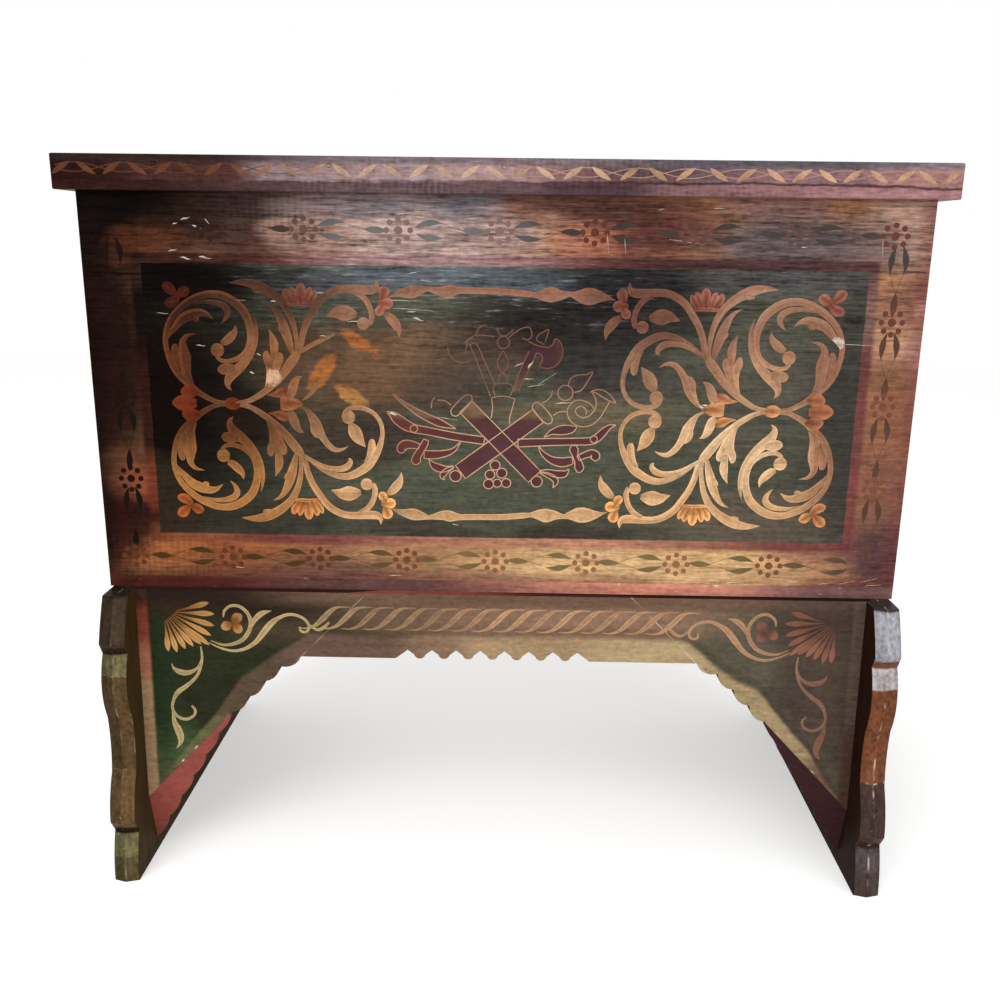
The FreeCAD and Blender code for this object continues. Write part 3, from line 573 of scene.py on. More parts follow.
# Patches of the band: the near-black ones on the left are painted shade, the grey and bluish-grey ones along
# the top are painted sheen, and the rest are the paint's own tones.
BAND_TONES_AND_LIGHT = (  # middle and reach of a patch in mm, its strength, its paint
    ((150, 450), (360, 70), 1.0, (194, 157, 113)),
    ((-70, 458), (150, 40), 0.7, (166, 128, 88)),
    ((-390, 458), (200, 60), 1.0, (148, 88, 50)),
    ((-240, 427), (150, 24), 0.9, (86, 64, 56)),
    ((-60, 424), (100, 20), 0.7, (134, 100, 77)),
    ((-120, 460), (150, 26), 0.6, (146, 104, 74)),
    ((300, 460), (110, 34), 0.8, (192, 154, 107)),
    ((430, 464), (110, 36), 0.9, (142, 98, 77)),
    ((510, 440), (90, 110), 1.0, (80, 55, 56)),
    ((505, 560), (60, 60), 0.8, (108, 71, 61)),
    ((500, 640), (60, 70), 0.8, (122, 80, 60)),
    ((505, 700), (60, 40), 0.6, (124, 82, 62)),
    ((505, 745), (50, 50), 0.8, (162, 122, 94)),
    ((505, 805), (60, 50), 0.8, (114, 78, 66)),
    ((535, 780), (30, 120), 0.7, (172, 126, 116)),
    ((505, 700), (40, 30), 0.6, (112, 74, 56)),
    ((500, 890), (80, 70), 0.9, (150, 121, 108)),
    ((370, 862), (160, 50), 1.0, (86, 74, 74)),
    ((190, 880), (120, 56), 1.0, (82, 49, 43)),
    ((335, 908), (90, 26), 0.7, (110, 86, 86)),
    ((60, 868), (80, 46), 0.7, (158, 124, 104)),
    ((-110, 878), (180, 70), 1.0, (162, 138, 130)),
    ((-65, 899), (60, 24), 0.8, (110, 104, 110)),
    ((-180, 908), (100, 22), 0.9, (112, 106, 112)),
    ((-310, 872), (130, 64), 0.9, (88, 62, 55)),
    ((60, 912), (120, 36), 0.9, (106, 74, 64)),
    ((-50, 912), (90, 34), 0.9, (100, 96, 103)),
    ((-310, 912), (120, 44), 0.9, (44, 34, 35)),
    ((-352, 872), (76, 40), 0.8, (56, 35, 30)),
    ((-245, 870), (76, 34), 0.7, (148, 118, 104)),
    ((-20, 872), (80, 40), 0.6, (136, 112, 107)),
    ((108, 866), (70, 42), 0.8, (150, 94, 74)),
    ((120, 906), (80, 28), 0.8, (66, 42, 36)),
    ((-230, 906), (76, 24), 0.6, (126, 108, 106)),
    ((-372, 440), (100, 34), 0.6, (96, 57, 41)),
    ((-258, 446), (80, 32), 0.5, (102, 68, 55)),
    ((-110, 446), (90, 32), 0.5, (134, 96, 72)),
    ((-490, 905), (190, 76), 1.0, (8, 4, 4)),
    ((-560, 800), (240, 390), 1.0, (9, 4, 4)),
    ((-540, 640), (110, 330), 0.9, (32, 14, 11)),
    ((-545, 455), (80, 120), 1.0, (42, 20, 16)),
    ((-505, 505), (80, 70), 1.0, (40, 17, 13)),
    ((-488, 558), (54, 50), 0.8, (94, 56, 38)),
    ((-478, 546), (28, 40), 0.8, (124, 67, 42)),
    ((-440, 852), (60, 34), 0.6, (74, 38, 22)),
)
# Patches of the field: the near-black ones on the left are painted shade, the grey and bluish-grey ones
# along the top are painted sheen, and the rest are the paint's own tones and worn smears.
FIELD_TONES_AND_LIGHT = (
    ((-20, 575), (260, 90), 0.8, (76, 78, 64)),
    ((330, 505), (170, 60), 0.7, (92, 80, 68)),
    ((330, 680), (130, 110), 0.6, (80, 74, 67)),
    ((460, 650), (80, 260), 0.8, (52, 47, 45)),
    ((-470, 660), (260, 300), 1.0, (13, 6, 4)),
    ((-300, 500), (140, 44), 0.6, (44, 40, 32)),
    ((-185, 700), (170, 80), 0.9, (84, 62, 46)),
    ((-140, 704), (84, 50), 0.7, (108, 80, 60)),
    ((-215, 608), (110, 60), 0.8, (54, 44, 35)),
    ((-150, 625), (70, 40), 0.6, (64, 52, 46)),
    ((0, 738), (130, 50), 0.8, (74, 55, 48)),
    ((110, 648), (170, 30), 0.8, (98, 88, 69)),
    ((-60, 680), (80, 40), 0.7, (72, 58, 51)),
    ((110, 780), (220, 75), 0.9, (32, 28, 29)),
    ((-70, 818), (280, 24), 0.8, (84, 90, 98)),
    ((330, 816), (200, 24), 0.7, (68, 66, 70)),
    ((160, 815), (110, 34), 0.9, (32, 30, 31)),
    ((-100, 487), (110, 16), 0.8, (60, 54, 48)),
    ((110, 487), (110, 16), 0.9, (58, 50, 44)),
    ((120, 686), (55, 26), 0.8, (74, 62, 58)),
    ((140, 712), (110, 44), 0.8, (46, 43, 44)),
    ((190, 686), (60, 34), 0.5, (70, 66, 62)),
    ((-138, 612), (80, 44), 0.7, (56, 46, 42)),
    ((-225, 806), (60, 26), 0.6, (62, 58, 62)),
    ((-448, 546), (56, 60), 0.7, (46, 38, 25)),
    ((-440, 490), (70, 24), 0.7, (48, 34, 25)),
    ((-285, 738), (55, 45), 0.7, (62, 48, 34)),
    ((-335, 640), (70, 44), 0.8, (30, 19, 13)),
    ((-95, 735), (45, 30), 0.6, (110, 84, 66)),
    ((-300, 818), (80, 28), 0.8, (40, 39, 40)),
    ((-440, 815), (150, 54), 1.0, (9, 5, 4)),
)


def inside_field(along, z, half):
    """How far a point lies inside the field of a panel, in mm: negative on the band round it."""
    return (half - FIELD_INSET - along).least((z - FIELD_FOOT).least(FIELD_HEAD - z))


def bare_wood(fibre):
    """Unpainted face of a plank: pale and dark timber by its grain."""
    return (fibre * 0.5 + 0.5).between((104, 74, 48), (140, 102, 68))


def end_colour(place, y, z):
    """Paint of an end of the case: green field, red line and brown band, streaked and dulled."""
    streaks = place.noise((30, 8, 110), 4)
    clouds = place.noise((9, 9, 9), 4)
    off_middle = abs(y - CASE_MIDDLE_Y)
    inner = inside_field(off_middle, z, CASE_HALF_DEPTH) + clouds * 1.2
    band = (clouds * 0.5 + 0.5).between((112, 70, 46), (140, 98, 66))
    band = off_middle.rise(CASE_HALF_DEPTH - 45, CASE_HALF_DEPTH).between(band, (60, 34, 28))
    band = (z.rise(FIELD_FOOT - 30, FIELD_FOOT - 60) * 0.7).between(band, (70, 42, 34))
    colour = (inner + streaks).rise(-15, -8).between(band, (118, 62, 50))
    green = (clouds + 0.2).rise(-0.8, 0.9).between((48, 45, 35), (66, 64, 51))
    colour = inner.rise(-0.8, 0.8).between(colour, green)
    weave = place.noise((300, 24, 300), 4)
    colour = colour.shaded((1.0 + streaks * 0.2 + clouds * 0.2 + weave * 0.3).most(0.2))
    rubbed = (CASE_HALF_DEPTH - off_middle).rise(9, 1) * place.noise((60, 60, 26), 5).rise(0.25, 0.75)
    scratched = place.noise((60, 16, 260), 5).rise(1, 1.3)
    return (rubbed.most(scratched) * 0.6).between(colour, (176, 148, 116)), streaks


front_paint, place, x, y, z = new_finish("painted_front")
streaks = place.noise((7, 7, 150), 5)
clouds = place.noise((8, 8, 14), 4)
mottle = place.noise((45, 45, 60), 4)
warped_x = x + clouds * 38
warped_z = z + place.noise((5, 9, 9), 3) * 14
inner = inside_field(abs(x), z, CASE_HALF) + mottle * 0.8
field = inner.rise(-0.9, 0.9)
band = patched((146, 102, 74), warped_x, warped_z, BAND_TONES_AND_LIGHT)
pale_foot = x.rise(180, 260) * x.rise(430, 370) * 30
rim = (CASE_HALF - abs(x)).least((z - CASE_FOOT) * 1.6 + pale_foot).least(CASE_HEAD - z)
# The outer rim of the band is darker paint, and toward the left it goes near black: that is painted shade.
rim_paint_and_shade = graded(x, (104, 58, 54), (-250, -480, (14, 7, 6)))
band = ((rim + clouds * 6).rise(30, 0) * 0.6).between(band, rim_paint_and_shade)
red = (inner + clouds * 1.5).rise(-17, -9)
# The red line goes dark toward the left as painted shade, and grey along the top and at the upper right as
# painted sheen.
red_paint_shade_and_sheen = patched(graded(x, (108, 58, 56), (-250, -470, (40, 17, 14))), x, z, (
    ((60, 472), (300, 40), 0.8, (176, 122, 96)),
    ((-400, 472), (100, 40), 0.8, (128, 72, 48)),
    ((300, 838), (300, 60), 1.0, (62, 41, 43)),
    ((225, 838), (80, 40), 0.8, (52, 31, 33)),
    ((463, 770), (40, 70), 0.9, (110, 82, 78)),
    ((463, 710), (40, 50), 0.8, (86, 45, 45)),
    ((-463, 790), (60, 100), 1.0, (10, 5, 5)),
    ((-90, 838), (220, 50), 0.9, (130, 103, 105)),
    ((-400, 838), (170, 50), 0.9, (48, 26, 20)),
    ((463, 650), (40, 80), 0.6, (92, 55, 52)),
    ((-463, 548), (30, 52), 0.9, (106, 50, 33)),
))
colour = (red * 0.93).between(band, red_paint_shade_and_sheen)
colour = field.between(colour, patched((70, 70, 58), warped_x, warped_z, FIELD_TONES_AND_LIGHT))
worn_leaf = oval(x, z + (x + 182) * 0.58, (-182, 735), (32, 15))
worn_leaf = worn_leaf.most(oval(x - (z - 698) * 0.6, z, (-231, 698), (18, 33)))
worn_leaf = worn_leaf.most(oval(x, z + (x + 194) * 0.45, (-194, 667), (29, 15)))
grain = place.noise((150, 150, 200), 4)
worn_leaf = (worn_leaf + (mottle * 0.3 + grain * 0.35) * worn_leaf.rise(0.0, 0.3)).rise(0.1, 1.0)
colour = (worn_leaf * 0.75).between(colour, graded(z, (158, 94, 48), (690, 660, (168, 120, 68))))
weave = place.noise((22, 22, 300), 4)
threads = place.noise((70, 70, 520), 3)
coarse = 0.45 + z.rise(690, 830) * 0.6 + z.rise(480, 440) * 0.15
ridges = (streaks * 0.35 + weave * 0.75 + threads * 0.5) * coarse
chatter = (x * 0.785 + clouds * 2.0).sine() * place.noise((3, 3, 9), 2).rise(0.2, 0.7)
chatter = chatter * z.rise(515, 490).most(z.rise(770, 820))
# Light and dark along the chatter ripples in the colour is painted glare; the ripples are also in the
# relief.
colour = colour.shaded((1.0 + ridges + mottle * 0.14 + grain * 0.32 + chatter * 0.14).most(0.2))
glare = oval(x, z, (-70, 800), (330, 70)).most(oval(x, z, (-60, 880), (300, 60)))
glare = glare * (weave + threads * 0.7 + mottle * 0.3 - 0.35).rise(0.0, 0.8)
colour = (glare * 0.45).between(colour, (172, 172, 182))
scrape = place.noise((14, 14, 420), 4).rise(0.6, 1)
scrape = scrape * (oval(x, z, (-95, 797), (90, 14)) + oval(x, z, (30, 702), (40, 24))).least(1.0)
low_chips = (z + mottle * 2).rise(424, 419) * place.noise((38, 38, 90), 5).rise(0.55, 0.8)
flakes = place.noise((70, 70, 130), 5).rise(1.25, 1.4)
worn = scrape.most(low_chips).most(flakes)
colour = (worn * 0.8).between(colour, (214, 202, 190))
sides, side_streaks = end_colour(place, y, z)
inside = (y - FRONT_Y).rise(0.4, 0.9)
fibre = place.noise((5, 130, 130), 5)
end_grain = (abs(x) - CASE_HALF).rise(-0.6, -0.3)
colour = inside.between(colour, end_grain.between(bare_wood(fibre), sides))
dress(front_paint, colour, 0.36 + mottle * 0.04 + inside * 0.35,
      ridges * 0.12 + mottle * 0.05 + chatter * 0.06 - worn * 0.2)
coat(front_paint, "front_upper_plank", "front_lower_plank")

end_paint, place, x, y, z = new_finish("painted_ends")
sides, side_streaks = end_colour(place, y, z)
fibre = place.noise((130, 5, 130), 5)
inside = (CASE_HALF - abs(x)).rise(0.4, 0.9)
colour = inside.between(sides, bare_wood(fibre))
dress(end_paint, colour, 0.4 + inside * 0.35, side_streaks * 0.06 + fibre * 0.05)
for side in ("left", "right"):
    coat(end_paint, side + "_end_upper_plank", side + "_end_lower_plank")
coat(timber("back_timber", "x", (104, 74, 48)), "back_upper_plank", "back_lower_plank")

# Pegs and nails of the case and the stand
# Whittled pegs pin the front and the back to the ends, under the paint in front. Square wrought nails
# with hammered heads hold the floor, the cleats and the case on its stand.

coat(front_paint, "corner_pegs")

iron, place, *_ = new_finish("wrought_iron")
pits = place.noise((240, 240, 240), 4)
rust = place.noise((70, 70, 70), 4)
colour = (rust + 0.1).rise(0.0, 0.9).between((52, 48, 46), (96, 58, 38))
dress(iron, colour.shaded(1.0 + pits * 0.2), 0.55 + rust * 0.12, pits * 0.12 + rust * 0.1, gloss=0.5,
      Metallic=0.55)
coat(iron, "bottom_nails", "cleat_nails", "hold_down_nails")

# Scrollwork of the front
# A pair of scrolled branches at each end of the field, mirrored about its middle line, with buds and
# flowers, and a turned rod above and below. One stroke of gold-ochre paint is one leaf or stem.

FIELD_MIDDLE = 655
BRANCH = [smooth(line) for line in (  # out from the middle, away from the middle line, width
    ((352, 0.5, 6), (363, 1, 5.5), (375, 4, 6), (391, 13, 7.5), (404, 24, 9), (416.5, 36, 9),
     (425, 50, 8), (430, 67, 7), (431, 82, 7), (427, 99, 7), (418, 113, 8), (405, 125, 9), (390, 134, 9),
     (374, 139, 9), (357, 138, 10.5), (342, 131, 11), (330, 120, 11), (324, 107, 10), (321.5, 93, 9),
     (323, 79, 8), (328, 68, 7), (337, 60, 6.5), (348, 55.5, 6), (358, 55, 5.5), (365, 59, 5),
     (366.5, 66, 4)),
    ((318, 118, 0.5), (315.5, 107, 4), (315, 95, 7), (317, 80, 8.5), (322, 67, 9.5), (330, 55, 11),
     (340, 45, 13), (349.5, 36.5, 13), (354, 28, 9), (353.5, 22, 5.5), (349.5, 17, 0.5)),
    ((344, 45, 10), (353, 45, 14), (360, 44, 13), (364.5, 43, 8), (366, 42.5, 3)),
    ((400, 25, 5), (406, 36, 11), (408, 48, 15), (408.5, 60, 17), (409, 70, 12), (409, 79, 8),
     (403, 86.5, 5), (391, 89.5, 0.5)),
    ((413, 44, 6), (418, 55, 10), (420, 66, 10), (419.5, 74, 7), (419.5, 76.5, 2)),
    ((429, 82, 2), (424, 90, 6), (418, 97, 8.5), (408, 107.5, 12), (397, 113, 13), (385, 116, 10),
     (376, 114, 6), (368, 108, 0.5)),
    ((396, 112, 8), (390, 108, 8), (387, 106, 3)),
    ((398, 125.5, 2), (380, 129.5, 5), (365, 129, 7), (354, 125, 8.5), (349.5, 118, 8), (352, 110, 5),
     (358, 103, 0.5)),
    ((360, 78, 6), (354, 80, 10), (347, 86, 11), (341.5, 93, 7), (340, 101, 0.5)),
    ((345, 1, 6), (336, 2, 5.5), (325, 5, 6.5), (310, 14, 8), (297, 24, 8.5), (285, 36, 10),
     (275, 49, 12), (266, 61, 12), (261, 68, 7)),
    ((305, 20, 4), (300, 30, 9), (296, 41, 15), (294, 52, 20), (293.5, 58, 20)),
    ((290, 48, 8), (287, 57, 11), (285.5, 63, 9), (286, 67, 3)),
    ((298, 48, 8), (301.5, 58, 10), (302.5, 65, 8), (302, 69, 3)),
    ((292.5, 58, 8), (292, 70, 10), (292, 78, 11), (294, 87, 7), (298, 96.5, 0.5)),
    ((262, 66, 5), (252, 72, 5.5), (240, 79, 6), (227, 83.5, 6.5), (214, 85, 7.5), (205, 83, 8.5),
     (199, 78, 7.5), (198, 73, 5), (200.5, 70, 0.5)),
    ((250, 77, 1), (236, 86, 4), (222, 92, 7), (208, 95, 8.5), (196, 93, 10), (185, 87.5, 11),
     (175, 80, 11.5), (167, 70, 10), (160.5, 58, 8.5), (156.5, 46, 6.5), (155, 35, 5.5), (157, 23, 5.5),
     (164, 12, 5.5), (174, 5.5, 6), (185, 3, 6), (196, 4, 6), (203.5, 9, 5), (205.5, 15, 3)),
    ((178, 76, 5), (172, 67, 9), (169.5, 57, 10), (169, 49, 9), (169.5, 44, 4)),
    ((197, 24, 6), (193, 31, 15), (189.5, 38, 17), (185.5, 45, 13), (177.5, 55, 0.5)),
    ((262, 2, 2), (253, 7, 5), (247, 15, 10), (242, 25, 14), (238, 35, 13), (232.5, 44, 9), (226, 53, 8),
     (217.5, 59, 6.5), (208.5, 58.5, 4), (200.5, 54.5, 0.5)),
    ((245, 24, 8), (244, 33, 10), (241.5, 40, 7), (240, 43.5, 2)),
    ((277, 9, 6), (273, 14, 11), (270, 22, 12), (267, 29, 10), (263, 34, 6), (257.5, 37, 0.5)),
    ((262, 66, 6), (257.5, 77, 7), (254.5, 90, 8), (249, 105, 8.5), (240, 120, 9), (230, 134, 9.5),
     (217.5, 143, 9.5), (205, 147.5, 9.5), (190, 148, 10), (177, 147, 11.5), (165, 147.5, 11),
     (159.5, 152, 7), (159, 160, 0.5)),
    ((188, 144, 5), (178, 139, 7), (171, 131, 7), (167, 121, 7), (166, 112, 7), (169, 104, 6)),
    ((264, 66, 4), (263, 80, 5), (264.5, 95, 6.5), (269, 112, 8), (277, 127, 9.5), (288, 138, 11),
     (300, 146, 12.5), (312, 151.5, 12.5), (323, 154, 10), (334, 154.5, 6), (345, 153.5, 0.5)),
    ((302, 146, 8), (310, 145, 8), (316, 144, 3)),
    ((269, 66, 5), (272, 78, 9), (275.5, 90, 12), (278.5, 100, 12), (282.5, 110, 10), (287.5, 119, 7),
     (294, 125.5, 4), (302, 129, 0.5)),
    ((277, 90, 7), (282, 97, 8), (285, 100, 4)),
    ((185, 116, 6), (192, 117, 15), (201, 118, 20), (210, 118, 15), (217, 116, 8), (224.5, 113.5, 0.5)),
    ((149.5, 118, 5), (143, 113, 11), (136, 105, 12), (132, 97, 7), (131, 88, 0.5)),
)] + [disc(365, 69, 8.7), disc(199, 15.5, 8.8), disc(177, 105, 8)]
BLOSSOM = [smooth(line) for line in (
    ((277, 20, 4), (281, 17.5, 11), (287, 14.5, 12), (295, 12.5, 6), (304, 12, 0.5)),
    ((410, 138, 4), (415, 132, 11), (421, 128, 13), (427, 127.5, 9), (429.5, 128, 3)),
    ((413, 137, 4), (407, 140, 12), (402, 143, 13), (398, 145, 8), (396.5, 146, 3)),
    ((414, 138, 4), (419, 143, 12), (424, 147.5, 14), (428, 151, 9), (429.5, 152.5, 3)),
    ((246, 128, 3), (241, 136, 8), (238, 142, 7), (236.5, 146, 2.5)),
    ((251, 129, 4), (247, 138, 8), (244.5, 145, 8), (243.5, 149.5, 3)),
    ((256, 129, 5), (255.5, 140, 11), (255, 149, 11), (255, 154.5, 4)),
    ((261, 129, 4), (264.5, 138, 8), (266.5, 145, 8), (267.5, 149.5, 3)),
    ((266, 128, 3), (271, 136, 9), (274, 142, 10), (276, 147.5, 4)),
    ((237, 128, 3), (246, 128, 5), (256, 128.5, 5), (266, 128, 5), (276, 128, 3)),
    ((150, 131, 4), (154, 124, 11), (157, 119, 11), (159, 115.5, 4)),
    ((158, 131, 5), (150, 131, 13), (143, 130, 13), (139, 129, 5)),
    ((154, 135, 5), (151, 142, 13), (149, 148, 13), (147.5, 151.5, 5)),
    ((392, 14, 5), (399, 15, 15), (406, 15, 17), (412, 13, 12), (415, 11, 4)),
)]
AXIS_BLOSSOM = [smooth(line) for line in (
    ((258, 0, 2), (265, 1, 12), (274, 1, 18), (282, 1, 19), (287, 1, 15)),
    ((396, 0, 10), (408, 0, 20), (418, 0, 19), (425, 0, 10), (428, 0, 3)),
)] + [disc(349, 0, 11, 8)]
ROD = smooth((
    (-145, 138, 0.5), (-130, 143, 9), (-116, 145, 16), (-104, 147.5, 11), (-96, 149, 6), (-88, 148, 8),
    (-76, 146, 13), (-66, 147, 15), (-55, 148, 9), (-40, 147.7, 8), (0, 147, 8), (30, 144.5, 8),
    (40, 143.5, 6.5), (51, 143, 14), (61, 144, 19), (72, 143.5, 13), (84, 145, 6.5), (92, 143.5, 11),
    (103, 142.5, 20), (114, 142.5, 20), (125, 142, 12), (135, 140, 4), (142, 138, 0.5)))


def turned(strokes, side, half):
    """Strokes of the branch put in one quarter of the field: side is -1 or 1 across, half -1 or 1 up."""
    return [np.asarray(line) * (side, half, 1) + (0, FIELD_MIDDLE, 0) for line in strokes]


FRONT_PANEL = (FRONT_Y, 0, 0, "chest", "painted_front")     # upright, so without head and lean
gold_paint, place, x, _, z = new_finish("gold_scroll_paint")
across, along, tone = stroke_marks(place)
brush = place.noise((28, 28, 28), 4)
fine = place.noise((110, 110, 110), 4)
# The dark patch at the upper left of this list is painted shade.
colour = patched(graded(z, (198, 156, 113), (570, 740, (142, 103, 82))), x, z, (
    ((292, 600), (100, 80), 0.7, (216, 182, 142)),
    ((445, 640), (80, 260), 0.9, (138, 96, 76)),
    ((175, 785), (110, 70), 0.9, (94, 61, 52)),
    ((200, 690), (60, 40), 0.6, (130, 98, 77)),
    ((335, 700), (60, 50), 0.6, (184, 142, 108)),
    ((-345, 728), (110, 80), 0.8, (132, 85, 54)),
    ((-300, 795), (130, 62), 0.95, (62, 40, 32)),
    ((300, 790), (90, 40), 0.5, (156, 120, 100)),
    ((-250, 695), (120, 80), 0.8, (128, 85, 54)),
    ((0, 801), (120, 24), 0.7, (140, 98, 80)),
))
# Toward the left end the strokes go over to dim paint, darker higher up: painted shade, like the rest of the
# left side.
dim = graded(z, (160, 110, 63), (540, 630, (80, 44, 27)), (725, 780, (46, 27, 21)))
high = z.rise(620, 690)
shaded_end = x.rise(-130, -335) * (1 - high) + x.rise(-310, -400) * high
colour = shaded_end.between(colour, dim)
grain = place.noise((220, 220, 320), 4)
streak = (across + brush * 0.14).rise(0.45, 0.75) * (tone * 0.7 + 0.3)
vein = (abs(across - 0.55 + brush * 0.12).rise(0.09, 0.0) * (tone - 0.2)).most(0.0)
rim = abs(across - 0.5).rise(0.3, 0.44) * (0.5 + z.rise(720, 620) * 0.5)
colour = (streak * 0.3).between(colour, (142, 80, 44))
modelling = rim * 0.3 - streak * 0.14 - vein * 0.4 - along.rise(0.3, 0.0) * 0.2 + (tone - 0.5) * 0.2
colour = colour.shaded((1.0 + modelling + brush * 0.18 + fine * 0.2 + grain * 0.22).most(0.2))
# Pale patches on the strokes: worn flakes, and the patch at the upper left is a painted glare highlight.
white_wear_and_glare = oval(x + brush * 6, z, (424, 743), (16, 10))
white_wear_and_glare = white_wear_and_glare.most(oval(x + brush * 6, z, (-298, 690), (17, 15)))
white_wear_and_glare = white_wear_and_glare.most(oval(x + brush * 5, z, (266, 661), (12, 7)))
white_wear_and_glare = (white_wear_and_glare + (fine + grain) * 0.5 * white_wear_and_glare.rise(0.0, 0.3)).rise(0.1, 1.1)
colour = (white_wear_and_glare * 0.85).between(colour, graded(x, (206, 168, 132), (0, 300, (196, 182, 168))))
dress(gold_paint, colour, 0.42 + fine * 0.03, brush * 0.04 + fine * 0.02)

blossom_paint, place, x, _, z = new_finish("blossom_paint")
across, along, tone = stroke_marks(place)
brush = place.noise((40, 40, 40), 4)
colour = patched(graded(z, (226, 160, 98), (570, 740, (146, 94, 78))), x, z, (
    ((150, 795), (130, 80), 0.8, (100, 60, 52)),
    ((445, 640), (80, 260), 0.7, (126, 74, 58)),
))
# Toward the left end the petals go over to dim paint, darker higher up: painted shade.
dim = graded(z, (154, 82, 40), (520, 640, (98, 42, 21)), (725, 780, (46, 22, 17)))
colour = x.rise(-170, -340).between(colour, dim)
grain = place.noise((220, 220, 320), 4)
heart = (along + brush * 0.12).rise(0.5, 0.05)
streak = abs(across - 0.5 + brush * 0.1).rise(0.3, 0.05) * along.rise(0.95, 0.5)
rim = abs(across - 0.5).rise(0.32, 0.44) * along.rise(0.3, 0.6)
colour = (heart.most(streak) * 0.4).between(colour, (112, 46, 28))
modelling = rim * 0.3 - heart * 0.2 - streak * 0.2 + (tone - 0.5) * 0.2
colour = colour.shaded((1.0 + modelling + brush * 0.2 + grain * 0.25).most(0.2))
dress(blossom_paint, colour, 0.42, brush * 0.04)

RUBBED = (14, 15, 16, 17, 18, 19, len(BRANCH) - 2)     # strokes of the upper left quarter that are worn away
REMNANTS = [smooth(line) for line in (
    ((262, 66, 5), (252, 72, 5.5), (240, 79, 6), (227, 85, 5), (214, 91, 3)),
    ((259, 5, 1.5), (251, 11, 4), (243, 19, 5), (237, 27, 3)),
)]
for name, side in (("left", -1), ("right", 1)):
    upper = BRANCH
    if side < 0:
        upper = [line for index, line in enumerate(BRANCH) if index not in RUBBED] + REMNANTS
    stems = turned(BRANCH, side, -1) + turned(upper, side, 1)
    lay_paint(name + "_scrollwork", stems, 0.32, gold_paint, FRONT_PANEL)
    petals = turned(BLOSSOM, side, -1) + turned(BLOSSOM, side, 1) + turned(AXIS_BLOSSOM, side, 1)
    lay_paint(name + "_blossoms", petals, 0.38, blossom_paint, FRONT_PANEL)
lay_paint("field_rods", turned([ROD], 1, -1) + turned([ROD], 1, 1), 0.32, gold_paint, FRONT_PANEL)

# Trophy of the field
# A traditional device of crossed quivers, staffs, sabres, a horn and an axe in the middle of the field.
# Each is a flat of thin maroon with a pale line round it, much rubbed towards the top.

QUIVERS = [smooth(line) for line in (
    ((-46.4, 655.5, 22), (0, 609, 22), (44.4, 563.8, 22)),
    ((47.5, 644.8, 22), (0, 608.5, 22), (-53, 568.7, 22)),
)]
ARMS = [smooth(line) for line in (
    ((22, 608.6, 10.5), (60, 610.4, 9.5), (95, 611.6, 9), (116, 612.6, 9.5), (125, 617, 10),
     (132.5, 624.5, 9), (140, 631.5, 5.5), (148.4, 634.1, 0.5)),
    ((-22, 611, 10), (-60, 616, 10), (-95, 622.5, 10), (-113, 625.5, 11), (-124, 630, 13),
     (-134, 637, 13), (-141, 643, 9), (-148, 647, 1)),
    ((-59.6, 626.4, 0.5), (-79.3, 633.2, 9), (-93.6, 639.5, 9), (-106, 645.7, 8), (-120.4, 654.6, 5),
     (-132.9, 663.6, 3), (-140, 670.7, 1.5)),
    ((-53.4, 608.2, 0.5), (-61.4, 598.4, 5), (-72.1, 593.6, 8), (-86.4, 591.3, 10.5),
     (-100.7, 591.3, 11)),
    ((49.3, 604.6, 0.5), (54.6, 595.4, 5), (66.3, 586.8, 9), (79.6, 583.8, 12), (93.9, 586.4, 9.5)),
    ((-98, 610.9, 7), (-100.4, 604.6, 8.5), (-106, 595.7, 9), (-110.5, 587.7, 10), (-111.4, 582.3, 12),
     (-111.4, 577.9, 5)),
    ((-107, 602, 7), (-117.7, 604.3, 10), (-125.7, 603.8, 12), (-130.2, 598.4, 12), (-128.4, 593.6, 5)),
    ((95.7, 606.4, 6), (95.4, 601, 11), (97.5, 593, 7.5), (101.4, 584.1, 9), (102.9, 576, 11.5),
     (102.3, 570.7, 4)),
    ((101, 589.5, 7), (110.9, 594.3, 8), (118.9, 596.1, 10), (123.4, 592.5, 12), (120.7, 587.7, 6)),
    ((-62.3, 575.7, 2), (-72.1, 572.5, 7), (-81, 573.4, 10), (-88.2, 577, 8), (-94.5, 584.6, 0.5)),
    ((-62.3, 575.2, 2), (-70.4, 570.7, 6), (-75.7, 565.4, 7), (-77.1, 561.8, 5), (-74.6, 557.9, 0.5)),
    ((51.4, 571.1, 2), (61.8, 570.7, 6), (72.5, 568, 9), (82.3, 568, 9), (86.4, 570.7, 5),
     (89.5, 574.3, 0.5)),
    ((52, 569.8, 2), (61.8, 566.3, 6), (69.8, 561.8, 7), (72.5, 556.4, 6), (69.3, 549.6, 0.5)),
    ((56.4, 617.1, 0.5), (65.4, 623.4, 6), (77.9, 626.4, 12), (90.4, 627.9, 10), (97.5, 631.1, 2)),
)] + [disc(*spot) for spot in (
    (-59.6, 563, 7.4), (47.5, 557.3, 7.3), (-7.5, 578.4, 6.4), (-14.1, 565.7, 6.2), (1.4, 568, 6.6),
    (-15.9, 552.9, 6.5), (-4.3, 554.3, 5.4), (7.3, 554.6, 6))]
AXE = [smooth(line) for line in (
    ((15.4, 676, 3), (24.3, 693.9, 8), (33.2, 713.6, 9), (39, 728, 9)),
    ((48.4, 708.2, 0.5), (56.4, 711.8, 9), (64.5, 718.9, 18), (66.5, 729.6, 18), (68.5, 737.7, 9),
     (67.1, 743.6, 0.5)),
    ((38, 733, 10), (49, 729, 10), (60, 725.2, 16)),
)]
